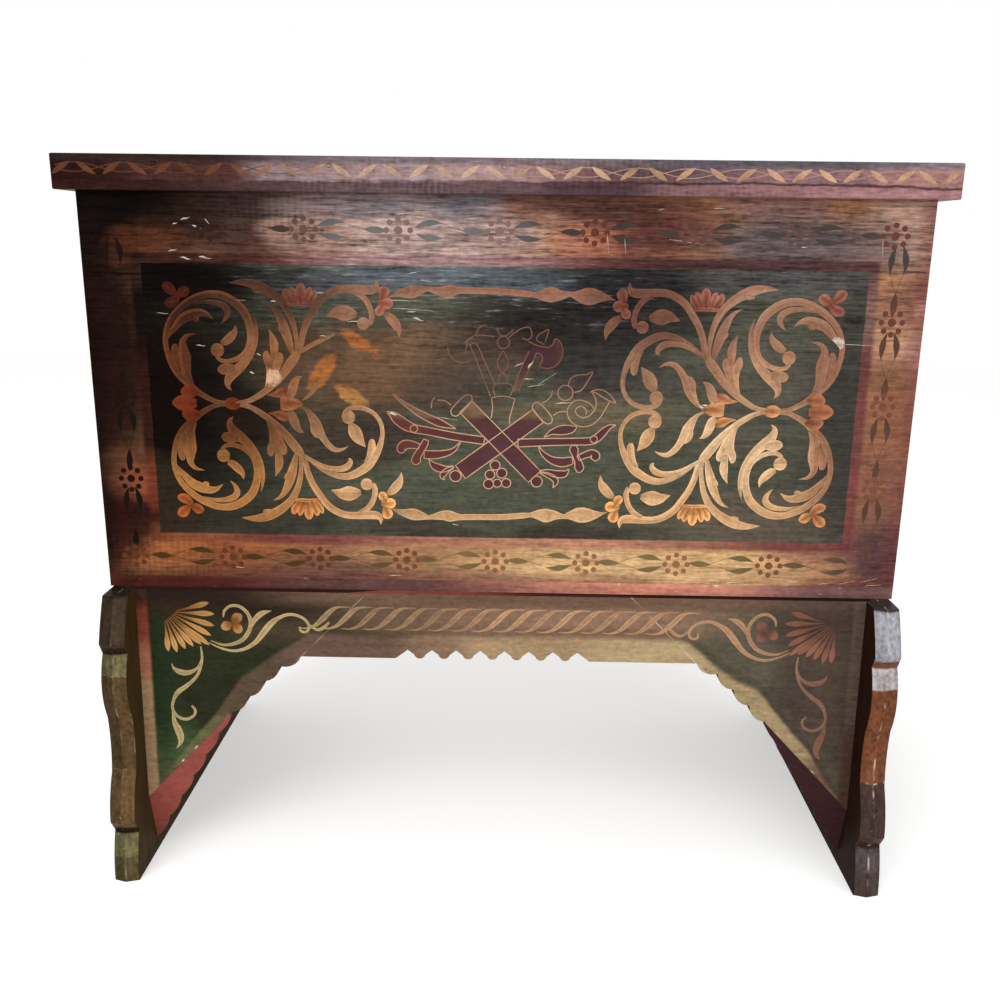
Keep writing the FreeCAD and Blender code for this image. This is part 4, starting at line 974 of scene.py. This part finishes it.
COLLARS = [smooth(line) for line in (
    ((-64, 644.5, 3), (-61, 647.5, 11), (-51.6, 657.3, 13), (-43, 666.2, 11), (-39.5, 669.8, 3)),
    ((41.5, 660.5, 3), (44, 658, 11), (52.9, 648.4, 13.5), (61.5, 639, 11), (64.5, 635.8, 3)),
    ((1.1, 699.6, 0.5), (1.1, 706, 10), (1.1, 713, 14), (1.1, 720, 10), (1.1, 727.9, 0.5)),
)] + [disc(*spot) for spot in ((1.4, 738.6, 7.7), (82, 675.2, 9.8), (120.7, 615, 4.6), (-113.8, 625.5, 4.8))]
THREADS = (  # lines of the device that stand alone: across and up, in mm
    ((43.9, 726.1), (50.2, 723.4), (51.4, 717.1), (48.4, 709.1), (58.2, 706.4), (68.9, 710),
     (76.1, 720.7), (76.4, 733.2), (72.5, 741.3), (67.1, 743.9), (64.5, 737.7), (59.1, 733.2),
     (51.1, 734.1), (43, 735.9), (33.2, 740.4)),
    ((34.5, 728), (27.5, 713), (19, 692), (15, 680)), ((43.9, 726.5), (38, 712), (30, 695.5), (21, 677)),
    ((53.8, 736.8), (43.9, 742.1), (45.7, 748.4), (51, 752), (58.2, 755.5), (57.3, 749.3), (54.6, 739.5)),
    ((85, 684.1), (88.6, 693.9), (97.5, 698.4), (108.2, 699.3), (116.3, 702.5), (110, 690.4),
     (102.9, 679.6), (93.9, 676.1)),
    ((114.5, 677), (120.7, 679.6), (129.6, 679.6), (138.6, 674.3), (144.8, 667.1), (147.5, 662.7)),
    ((114.5, 677), (120.7, 676), (129.6, 670.7), (139.5, 665.4), (147, 663)),
    ((139.5, 664.5), (135, 656.4), (127.9, 643.9), (118.9, 635), (108.2, 631.4), (97.5, 633.2),
     (88.6, 640.4), (85, 651), (88.6, 660), (95.7, 665.4), (104.6, 665.7), (113.6, 661.8),
     (119.8, 655.5)),
    ((117.1, 675.2), (121.6, 667.1), (121.6, 656.4), (117.1, 649.3), (111.8, 644.8), (103.8, 643.6),
     (97.5, 647.5), (95.7, 652.9), (99.3, 657.3), (105.5, 657.3), (110, 652), (109.1, 647.5)),
    ((52.9, 661.8), (59, 665.5), (63.6, 670.7), (65.4, 677.9)),
    ((67.1, 645.7), (74.3, 650.2), (84.1, 651)),
    ((-65, 657.3), (-73.9, 662.7), (-82.9, 663.6)), ((-90.9, 652.9), (-90, 661.8), (-86.4, 667.1)),
    ((-13.2, 667.1), (-6, 669.3), (1, 669.8), (9, 668.9), (17.1, 666.3)),
    ((-13.2, 667.1), (-11.6, 656.4), (-12.3, 647.5), (-13.2, 641.3)),
    ((17.1, 666.3), (13.6, 652.9), (10.9, 642.1), (10.9, 633.2)),
    ((-8.8, 670.7), (-11.1, 679.6), (-7, 685.9), (-0.7, 686.8), (10.9, 685), (14.5, 679.6),
     (10.9, 670.7)),
    ((-4.3, 687.7), (-3.4, 695.7), (0.2, 699.6), (4.6, 697.5), (7.3, 692.1), (7.3, 687.7)),
    ((-7, 757.3), (-5, 751), (-0.5, 747), (6.4, 748.4), (13.6, 754.6)),
    ((8.2, 744.8), (15.4, 751), (24.3, 756.4), (33.2, 758.2), (36.8, 752.9), (36.8, 745.7), (31.4, 742.1),
     (25.2, 744.8)),
    ((-32, 744.8), (-32.9, 751), (-27.5, 758.2), (-20.4, 760.5)),
    ((-48, 736.8), (-40, 743.9), (-32, 747.5), (-10, 746)),
    ((-46.5, 724), (-46, 731), (-41.8, 735), (-28, 703), (-14.5, 670)),
    ((-41.8, 735), (-32.9, 735.9), (-20, 709), (-8.8, 685)),
    ((-69.5, 731.4), (-67.7, 722.5), (-59.6, 714.5), (-50.7, 712.1), (-41.8, 713.6)),
)
LINE_WIDTH = 1.45


def outline(line, width):
    """A thin stroke round the edge of a wider one: out along one side of it and back along the other."""
    line = np.asarray(line, float)
    run = np.gradient(line[:, :2], axis=0)
    run = run / np.maximum(np.linalg.norm(run, axis=1, keepdims=True), 1e-6)
    side = np.column_stack([-run[:, 1], run[:, 0]]) * line[:, 2:] / 2
    loop = np.vstack([line[:, :2] + side, (line[:, :2] - side)[::-1]])
    loop = np.vstack([loop, loop[:1]])
    return np.column_stack([loop, np.full(len(loop), width)])


maroon_paint, place, x, _, z = new_finish("maroon_trophy_paint")
mottle = place.noise((40, 40, 40), 4)
grain = place.noise((90, 90, 300), 4)
colour = graded(x, (80, 50, 51), (-30, -120, (92, 50, 46)))
colour = (z + mottle * 3).rise(637, 646).between(colour, (108, 86, 66))
colour = oval(x, z, (48, 722), (60, 60)).between(colour, (66, 42, 46))
dress(maroon_paint, colour.shaded(1.0 + mottle * 0.2 + grain * 0.2), 0.4, mottle * 0.03)
lay_paint("trophy_flats", QUIVERS + ARMS + AXE, 0.06, maroon_paint, FRONT_PANEL)

pale_line, place, x, _, z = new_finish("pale_line_paint")
rubbed = place.noise((50, 50, 50), 4)
colour = (z + rubbed * 12).rise(640, 690).between((188, 148, 120), (112, 78, 64))
colour = (x.rise(10, -60) * z.rise(640, 690)).between(colour, (112, 84, 62))
colour = (oval(x, z, (105, 660), (60, 50)) * 0.7).between(colour, (166, 126, 98))
colour = (x.rise(-60, -120) * 0.5).between(colour, (136, 90, 72))
dress(pale_line, colour.shaded(1.0 + rubbed * 0.25), 0.42, rubbed * 0.03)
trophy_lines = [outline(line, LINE_WIDTH) for line in QUIVERS + ARMS + COLLARS]
trophy_lines += [smooth(np.column_stack([line, np.full(len(line), LINE_WIDTH)])) for line in THREADS]
lay_paint("trophy_lines", trophy_lines, 0.45, pale_line, FRONT_PANEL)

# Rosettes and sprigs of the band
# Small dotted rosettes in thin red-brown, with slender dark green leaves on wavy stalks between them,
# run round the band of the front.

LOW_ROW, HIGH_ROW, COLUMN = 446, 875, 490     # middle lines of the band, up and out, in mm
ROW_ROSETTES = ([(across, LOW_ROW) for across in (-492, -360, -242, -125, -6, 116, 237, 361)] +
                [(across, HIGH_ROW) for across in (-366, -249, -131, -5, 113, 235, 366, 483)])
COLUMN_ROSETTES = [(side * COLUMN, up) for side in (-1, 1) for up in (553, 663, 770)]
SPRIG = [smooth(line) for line in (  # along the band, across it, width
    ((-46, 0.5, 0.6), (-40, 0.5, 5), (-31, 0, 8.5), (-22, -0.5, 5.5), (-15, -1, 1), (-4, -4, 0.7),
     (7, -8, 0.8), (16, -9.5, 5), (25, -9, 8), (34, -7, 5), (42, -4, 0.5)),
    ((-15, 1, 0.7), (-4, 5, 0.7), (7, 8.5, 0.8), (15, 9, 5), (24, 8.5, 8), (33, 7, 5), (41, 4, 0.5)),
)]


def placed(strokes, middle, upright=False):
    """Strokes drawn along a band, moved to their place on it, and stood up where the band is upright."""
    if upright:
        strokes = [np.asarray(line)[:, [1, 0, 2]] for line in strokes]
    return [np.asarray(line) + (*middle, 0) for line in strokes]


turn = np.arange(8) * np.pi / 4
around = np.column_stack([15 * np.cos(turn), 13 * np.sin(turn)])
rosette = [disc(*spot, 3.6) for spot in around] + [disc(0, 0, 5.2)]
dots = []
for spots, upright in ((ROW_ROSETTES, False), (COLUMN_ROSETTES, True)):
    for middle in spots:
        dots += placed(rosette, middle, upright)
rosette_paint, place, x, _, z = new_finish("rosette_paint")
mottle = place.noise((60, 60, 60), 4)
# The rosettes go dark toward the left end: painted shade.
colour = graded(x, (92, 50, 31), (-250, 100, (142, 96, 68)), (240, 400, (116, 68, 52)))
upper_paint = graded(x, (90, 68, 62), (-200, -160, (120, 96, 90)), (-300, -360, (50, 32, 28)),
                     (40, 90, (90, 48, 40)), (170, 220, (88, 62, 57)), (410, 450, (96, 54, 46)))
colour = z.rise(600, 800).between(colour, upper_paint)
colour = (x.rise(-330, -460) * z.rise(465, 500)).between(colour, (30, 14, 11))
dress(rosette_paint, colour.shaded(1.0 + mottle * 0.2), 0.45, mottle * 0.04)
lay_paint("band_rosettes", dots, 0.18, rosette_paint, FRONT_PANEL)

sprigs = []
for middle in (-426, -301, -184, -66, 55, 176, 299, 425):
    sprigs += placed(SPRIG, (middle, LOW_ROW + 1))
for middle in (-308, -190, -68, 54, 174, 300, 424):
    sprigs += placed([np.asarray(line) * (-1, -1, 1) for line in SPRIG], (middle, HIGH_ROW))
for side in (-1, 1):
    for middle in (608, 716, 500, 822):
        sprigs += placed([np.asarray(line) * (1, -1, 1) for line in SPRIG], (side * COLUMN, middle), True)
sprig_paint, place, x, _, z = new_finish("sprig_paint")
mottle = place.noise((60, 60, 60), 4)
# The sprigs go dark toward the left end as painted shade, and grey in an oval along the top of the band as
# painted sheen.
colour = graded(x, (70, 50, 25), (-300, 60, (116, 98, 64)), (250, 420, (92, 72, 54)))
upper_paint = oval(x, z, (-120, 875), (210, 80)).between((62, 53, 49), (104, 100, 99))
upper_paint = graded(x, upper_paint, (240, 340, (66, 58, 56)), (-200, -280, (62, 48, 43)))
colour = z.rise(600, 800).between(colour, upper_paint)
colour = (x.rise(440, 470) * z.rise(840, 800)).between(colour, (82, 58, 46))
colour = (x.rise(-330, -440) * z.rise(452, 466)).between(colour, (24, 14, 10))
dress(sprig_paint, colour.shaded(1.0 + mottle * 0.2), 0.45, mottle * 0.04)
lay_paint("band_sprigs", sprigs, 0.15, sprig_paint, FRONT_PANEL)

# Lid
# Two planks on cross battens, with an edging mitred round the front and the ends that hangs over the case.
# The edging has a garland on a worn rose ground; the top is dark brown and the underside bare.

edging_low, edging_high = (np.array(corner) * 1000 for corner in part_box("lid_front_edging"))
EDGING_Y = edging_low[1]
LID_FOOT, LID_TOP = edging_low[2], edging_high[2]
EDGINGS = ("lid_front_edging", "lid_left_edging", "lid_right_edging")

edging_paint, place, x, _, z = new_finish("edging_paint")
streaks = place.noise((7, 7, 180), 5)
clouds = place.noise((9, 9, 20), 4)
mottle = place.noise((50, 50, 50), 4)
# The patches toward the left go near black: painted shade.
colour = patched((130, 98, 96), x + clouds * 30, z, (
    ((-560, 940), (270, 90), 1.0, (38, 17, 14)),
    ((-360, 940), (130, 60), 0.9, (64, 37, 31)),
    ((-240, 942), (90, 60), 0.7, (138, 120, 121)),
    ((-90, 942), (120, 60), 0.8, (144, 125, 127)),
    ((-20, 942), (80, 60), 0.8, (150, 122, 122)),
    ((85, 940), (70, 60), 0.8, (124, 92, 90)),
    ((170, 940), (110, 60), 0.9, (88, 66, 67)),
    ((270, 940), (70, 60), 0.8, (94, 75, 82)),
    ((400, 940), (100, 60), 0.6, (112, 88, 92)),
    ((540, 940), (130, 60), 0.9, (156, 112, 108)),
))
wave = place.noise((11, 11, 11), 3) * (1.5 + x.rise(-100, 300) * 3.0) + mottle * 2.2
low_stripe = (z + wave).rise(932, 929.5)
# The low stripe goes dark toward the left: painted shade.
stripe_paint = graded(x, (44, 23, 20), (-450, -120, (92, 72, 73)), (60, 480, (150, 108, 109)))
wavy_line = abs(z + wave - 932).rise(2.6, 0.4)
stripe_paint = oval(x, z, (110, 926), (90, 40)).between(stripe_paint, (70, 51, 55))
colour = low_stripe.between(colour, stripe_paint)
colour = (wavy_line * x.rise(-300, 100) * 0.8).between(colour, (54, 32, 32))
# A band along the top of the edging: its grey tones are a painted highlight along the upper edge, and it
# goes dark toward the left as painted shade.
head = (z + mottle * 1.5).rise(947, 956)
head_paint_and_highlight = graded(x, (40, 28, 29), (-360, -120, (112, 98, 100)), (60, 260, (84, 80, 88)),
                    (400, 540, (122, 112, 118)))
colour = (head * 0.9).between(colour, head_paint_and_highlight)
chatter = (x * 0.82 + clouds * 4.0 + mottle * 0.7).sine() * place.noise((7, 7, 7), 2).rise(-0.25, 0.45)
gouged = oval(x, z, (-190, 926), (190, 90)) * (z + mottle * 2).rise(936, 929)
chatter = chatter * (0.3 + gouged * 0.9)
weave = place.noise((60, 60, 330), 4)
grit = place.noise((170, 170, 170), 3)
# Light and dark along the chatter in the colour is painted glare.
ridges = streaks * 0.3 + mottle * 0.2 + weave * 0.45 + grit * 0.25 + chatter * 0.3
colour = colour.shaded((1.0 + ridges + clouds * 0.08).most(0.2))
gleam = oval(x, z, (-120, 945), (230, 40)) * (weave + mottle * 0.4 - 0.3).rise(0.0, 0.9) * 0.6
gleam = gleam + gouged * (chatter - 0.3).rise(0.0, 0.9) * 0.5
colour = (gleam * 0.45).between(colour, (190, 182, 184))
pale_specks = place.noise((60, 60, 60), 5).rise(0.7, 1)
pale_specks = pale_specks * z.rise(LID_TOP - 3, LID_TOP - 0.6).most(z.rise(LID_FOOT + 3, LID_FOOT + 0.6))
colour = (pale_specks * 0.75).between(colour, (206, 190, 172))
top_face = z.rise(LID_TOP - 0.5, LID_TOP - 0.1)
top_tone = (clouds * 0.5 + 0.5).between((58, 42, 38), (78, 58, 50)).shaded(1.0 + streaks * 0.15)
colour = top_face.between(colour, top_tone)
relief = streaks * 0.06 + mottle * 0.06 + chatter * 0.07 - pale_specks * 0.3
dress(edging_paint, colour, 0.38 + mottle * 0.04, relief)
coat(edging_paint, *EDGINGS, "edging_sprigs")
soften(0.0012, *EDGINGS)

lid_paint, place, _, _, z = new_finish("painted_lid_top")
fibre = place.noise((5, 120, 120), 5)
clouds = place.noise((6, 6, 6), 4)
mottle = place.noise((40, 40, 40), 4)
upper = z.rise(LID_TOP - 0.6, LID_TOP - 0.2)
colour = (clouds * 0.5 + 0.5).between((54, 38, 34), (82, 60, 50)).shaded(1.0 + fibre * 0.16)
rub = (clouds + mottle * 0.5 - 0.5).rise(0.2, 0.9)
colour = (rub * 0.5).between(colour, (128, 98, 74))
under = bare_wood(fibre).shaded(1.0 + clouds * 0.15)
colour = upper.between(under, colour)
dress(lid_paint, colour, 0.72 - upper * 0.3 + mottle * 0.04, fibre * 0.1 + mottle * 0.05)
coat(lid_paint, "lid_front_plank", "lid_back_plank")
coat(cross_timber, "lid_left_batten", "lid_right_batten")
coat(iron, "batten_nails")

# Garland of the edging
# Slender slanted leaves, turned up and down by turns, along two thin vines that cross. Each is one stroke
# of pale ochre, laid by hand on the front of the lid's edging.

LEAF = smooth(((-11.5, -7.5, 0.5), (-7.5, -4.5, 4.5), (-1, 0, 7), (6, 4.3, 5), (11.5, 7.5, 0.5)))
GARLAND_MIDDLE = 943.5
EDGING_PANEL = (EDGING_Y, 0, 0, "lid", "painted_lid")
VINE_SWING, VINE_PITCH = 5.5, 62
LEAF_PLACES = [*range(-537, 22, 31), 50, 83, 117, 151, 185, 218, 258, 291, 326, 357, 388, 418, 449, 480,
               507, 536]
leaves = [np.asarray(LEAF) * (1, turn, 1) + (middle, GARLAND_MIDDLE, 0)
          for middle, turn in zip(LEAF_PLACES, np.resize((1, -1), len(LEAF_PLACES)))]
run = np.linspace(-544, 544, 545)
swing = VINE_SWING * np.sin((run + 552) * np.pi / VINE_PITCH)
vines = [np.column_stack([run, GARLAND_MIDDLE + 1 + side * swing, np.full(run.size, 1.1)])
         for side in (-1, 1)]
garland_paint, place, x, _, z = new_finish("garland_paint")
_, _, tone = stroke_marks(place)
mottle = place.noise((50, 50, 50), 4)
# The leaves go dark toward the left end: painted shade.
colour = graded(x, (88, 54, 38), (-360, -150, (172, 142, 122)), (200, 330, (176, 138, 112)))
colour = (oval(x, z, (200, 942), (110, 60)) * 0.7).between(colour, (150, 112, 84))
grain = place.noise((160, 160, 260), 4)
colour = colour.shaded(1.0 + mottle * 0.3 + grain * 0.3 + (tone - 0.5) * 0.3)
dress(garland_paint, colour, 0.42, mottle * 0.04)
lay_paint("lid_garland_leaves", leaves, 0.3, garland_paint, EDGING_PANEL)
vine_paint, place, x, _, _ = new_finish("garland_vine_paint")
mottle = place.noise((50, 50, 50), 4)
# The vines go dark toward the left end: painted shade.
colour = graded(x, (84, 52, 38), (-330, -120, (158, 124, 108)))
dress(vine_paint, colour.shaded(1.0 + mottle * 0.2), 0.45, mottle * 0.04)
lay_paint("lid_garland_vines", vines, 0.15, vine_paint, EDGING_PANEL)

# Scuffs and glints
# Scratches and flakes where a hard knock has taken the paint down to its pale ground, mostly on the upper
# front, with thin pale lines near the top that are painted glints. Each is a thin ragged stroke that is
# widest in its first half.

SCUFF_AND_GLINT_SHARE = 0.75
SCUFFS_AND_GLINTS = (  # one end, the other end and the width at the middle, in mm across and up
    (-237, 797, -222, 798, 1.6), (-231, 792, -217, 793, 1.0), (-268, 794.5, -245, 794, 0.8),
    (-146, 789.5, -102, 789, 1.1), (-140, 779.5, -88, 777.5, 1.2), (-198, 762, -172, 763, 1.4),
    (-122, 775, -110, 776, 2.0), (-114, 768, -100, 764.5, 3.0), (-294, 786, -286, 787, 2.2),
    (-405, 839, -392, 837, 3.0), (-382, 840, -366, 838, 3.0), (-350, 788, -326, 787, 0.8),
    (-233, 743.5, -223, 744, 1.4), (-315, 720, -309, 718, 2.0), (-325, 696, -319, 695, 2.6),
    (-392, 730, -380, 729, 1.2), (16, 708, 28, 713.5, 2.0), (33, 706, 40, 716, 3.4),
    (27, 692, 41, 693, 1.3), (45, 684, 70, 701, 0.7), (33, 682, 54, 686, 1.0), (69, 661, 92, 663, 1.5),
    (-83, 641, -57, 638, 1.0), (-146, 645, -134, 644, 3.6), (430, 742, 470, 741, 1.0),
    (417, 747, 430, 743, 3.0), (258, 662, 272, 659, 3.0), (-402, 884, -390, 888, 2.6),
    (-388, 878, -377, 874, 2.4), (-412, 879, -406, 881, 1.8), (-372, 886, -366, 880, 1.6),
    (-420, 846, -408, 849, 2.0), (-45, 846, -31, 849, 2.6), (-135, 894, -112, 896, 1.2),
    (-112, 891, -92, 890, 1.6), (-120, 822, -104, 826, 1.2), (-104, 815, -88, 813, 1.2),
    (-55, 879, -49, 877, 2.2), (190, 902, 197, 905, 1.4), (258, 905, 272, 906, 1.6),
    (128, 876, 131, 850, 0.8), (150, 868, 152, 850, 0.8), (368, 860, 376, 861, 2.0),
    (468, 872, 470, 848, 1.2), (205, 868, 250, 862, 0.7), (-440, 770, -425, 769, 0.8),
    (-64, 497, -54, 496, 1.4), (-360, 432, -345, 431, 1.2), (-150, 423, -132, 424, 1.2),
    (118, 423, 131, 422, 1.2), (305, 421, 330, 422, 1.6), (384, 424, 400, 425, 1.8),
    (430, 421, 448, 424, 0.8), (458, 422, 478, 427, 0.7), (486, 425, 508, 431, 0.7),
    (492, 420, 514, 422, 0.8),
)
scuff_and_glint_strokes = [smooth(((x0, z0, 0.3), ((2 * x0 + x1) / 3, (2 * z0 + z1) / 3 + 0.3 * width, width),
                  ((x0 + 2 * x1) / 3, (z0 + 2 * z1) / 3 - 0.2 * width, 0.7 * width), (x1, z1, 0.3)))
          for x0, z0, x1, z1, width in np.array(SCUFFS_AND_GLINTS) * (1, 1, 1, 1, SCUFF_AND_GLINT_SHARE)]
scuff_and_glint_paint, place, _, _, z = new_finish("pale_ground_and_glint_paint")
grain = place.noise((140, 140, 140), 4)
colour = graded(z, (192, 176, 150), (700, 840, (172, 164, 158)))
dress(scuff_and_glint_paint, colour.shaded((1.0 + grain * 0.6).most(0.3)), 0.6, grain * 0.05)
lay_paint("front_marks_and_glints", scuff_and_glint_strokes, 0.5, scuff_and_glint_paint, FRONT_PANEL)

# Hinges
# Two wrought iron hinges on the back. Their leaves are rolled round a loose pin, and nailed to the case
# and to the lid.

coat(iron, "left_hinge_case_leaf", "right_hinge_case_leaf", "left_hinge_lid_leaf", "right_hinge_lid_leaf",
     "left_hinge_pin", "right_hinge_pin", "case_hinge_nails", "lid_hinge_nails")

# Studio
# A white floor under soft light from the front and above, with a camera at the height of a seated viewer.
# Floor and background look white to the eye, and the floor keeps the shadow of the chest.

scene = bpy.context.scene
scene.view_settings.view_transform = "Standard"

world = bpy.data.worlds.new("studio")
world.use_nodes = True
scene.world = world
sky = Shade(world.node_tree)
seen = sky.node("ShaderNodeLightPath", output="Is Camera Ray")
seen = seen.most(sky.node("ShaderNodeLightPath", output="Is Glossy Ray"))
seen = seen.most(sky.node("ShaderNodeLightPath", output="Is Transmission Ray"))
background = world.node_tree.nodes["Background"]
background.inputs["Color"].default_value = (1, 1, 1, 1)
world.node_tree.links.new((seen * 0.4 + 0.6).socket, background.inputs["Strength"])

floor_mesh = bpy.data.meshes.new("floor")
floor_mesh.from_pydata([(-6, -6, 0), (6, -6, 0), (6, 6, 0), (-6, 6, 0)], [], [(0, 1, 2, 3)])
floor = bpy.data.objects.new("floor", floor_mesh)
scene.collection.objects.link(floor)
floor_paint, place, *_ = new_finish("floor_paint")
seen = place.node("ShaderNodeLightPath", output="Is Camera Ray")
seen = seen.most(place.node("ShaderNodeLightPath", output="Is Glossy Ray"))
glow = seen.between((0, 0, 0), (0.42, 0.42, 0.42, 1))
dress(floor_paint, paint(246, 246, 245), 0.9, gloss=0.0, Emission_Strength=1.0)
floor_shader = floor_paint.node_tree.nodes["Principled BSDF"]
floor_paint.node_tree.links.new(glow.socket, floor_shader.inputs["Emission Color"])
floor_mesh.materials.append(floor_paint)

for name, spot, aim, size, power in (
    ("key", (-1.4, -2.6, 2.6), (0, 0, 0.6), 2.4, 60),
    ("fill", (1.8, -2.4, 1.2), (0, 0, 0.5), 2.0, 26),
):
    light = bpy.data.lights.new(name, "AREA")
    light.size = size
    light.energy = power
    lamp = bpy.data.objects.new(name, light)
    aim_line = np.array(aim) - np.array(spot)
    back = -aim_line / np.linalg.norm(aim_line)
    across = np.cross((0, 0, 1), back)
    across = across / np.linalg.norm(across)
    lamp.matrix_world = Matrix.Translation(spot) @ Matrix(np.column_stack(
        [across, np.cross(back, across), back])).to_4x4()
    scene.collection.objects.link(lamp)

CAMERA_SPOT = (0.0171, -1.47935, 0.8632)
CAMERA_YAW, CAMERA_PITCH, CAMERA_ROLL = -0.0137, 0.2531, 0.0125
ahead = np.array([np.sin(CAMERA_YAW) * np.cos(CAMERA_PITCH), np.cos(CAMERA_YAW) * np.cos(CAMERA_PITCH),
                  -np.sin(CAMERA_PITCH)])
level = np.array([np.cos(CAMERA_YAW), -np.sin(CAMERA_YAW), 0])
upright = np.cross(level, ahead)
rolled_level = level * np.cos(CAMERA_ROLL) + upright * np.sin(CAMERA_ROLL)
rolled_up = upright * np.cos(CAMERA_ROLL) - level * np.sin(CAMERA_ROLL)
camera_data = bpy.data.cameras.new("camera")
camera_data.lens = 36.0
camera_data.sensor_width = 36.0
camera = bpy.data.objects.new("camera", camera_data)
camera.matrix_world = Matrix.Translation(CAMERA_SPOT) @ Matrix(np.column_stack(
    [rolled_level, rolled_up, -ahead])).to_4x4()
scene.collection.objects.link(camera)
scene.camera = camera

bpy.context.view_layer.update()
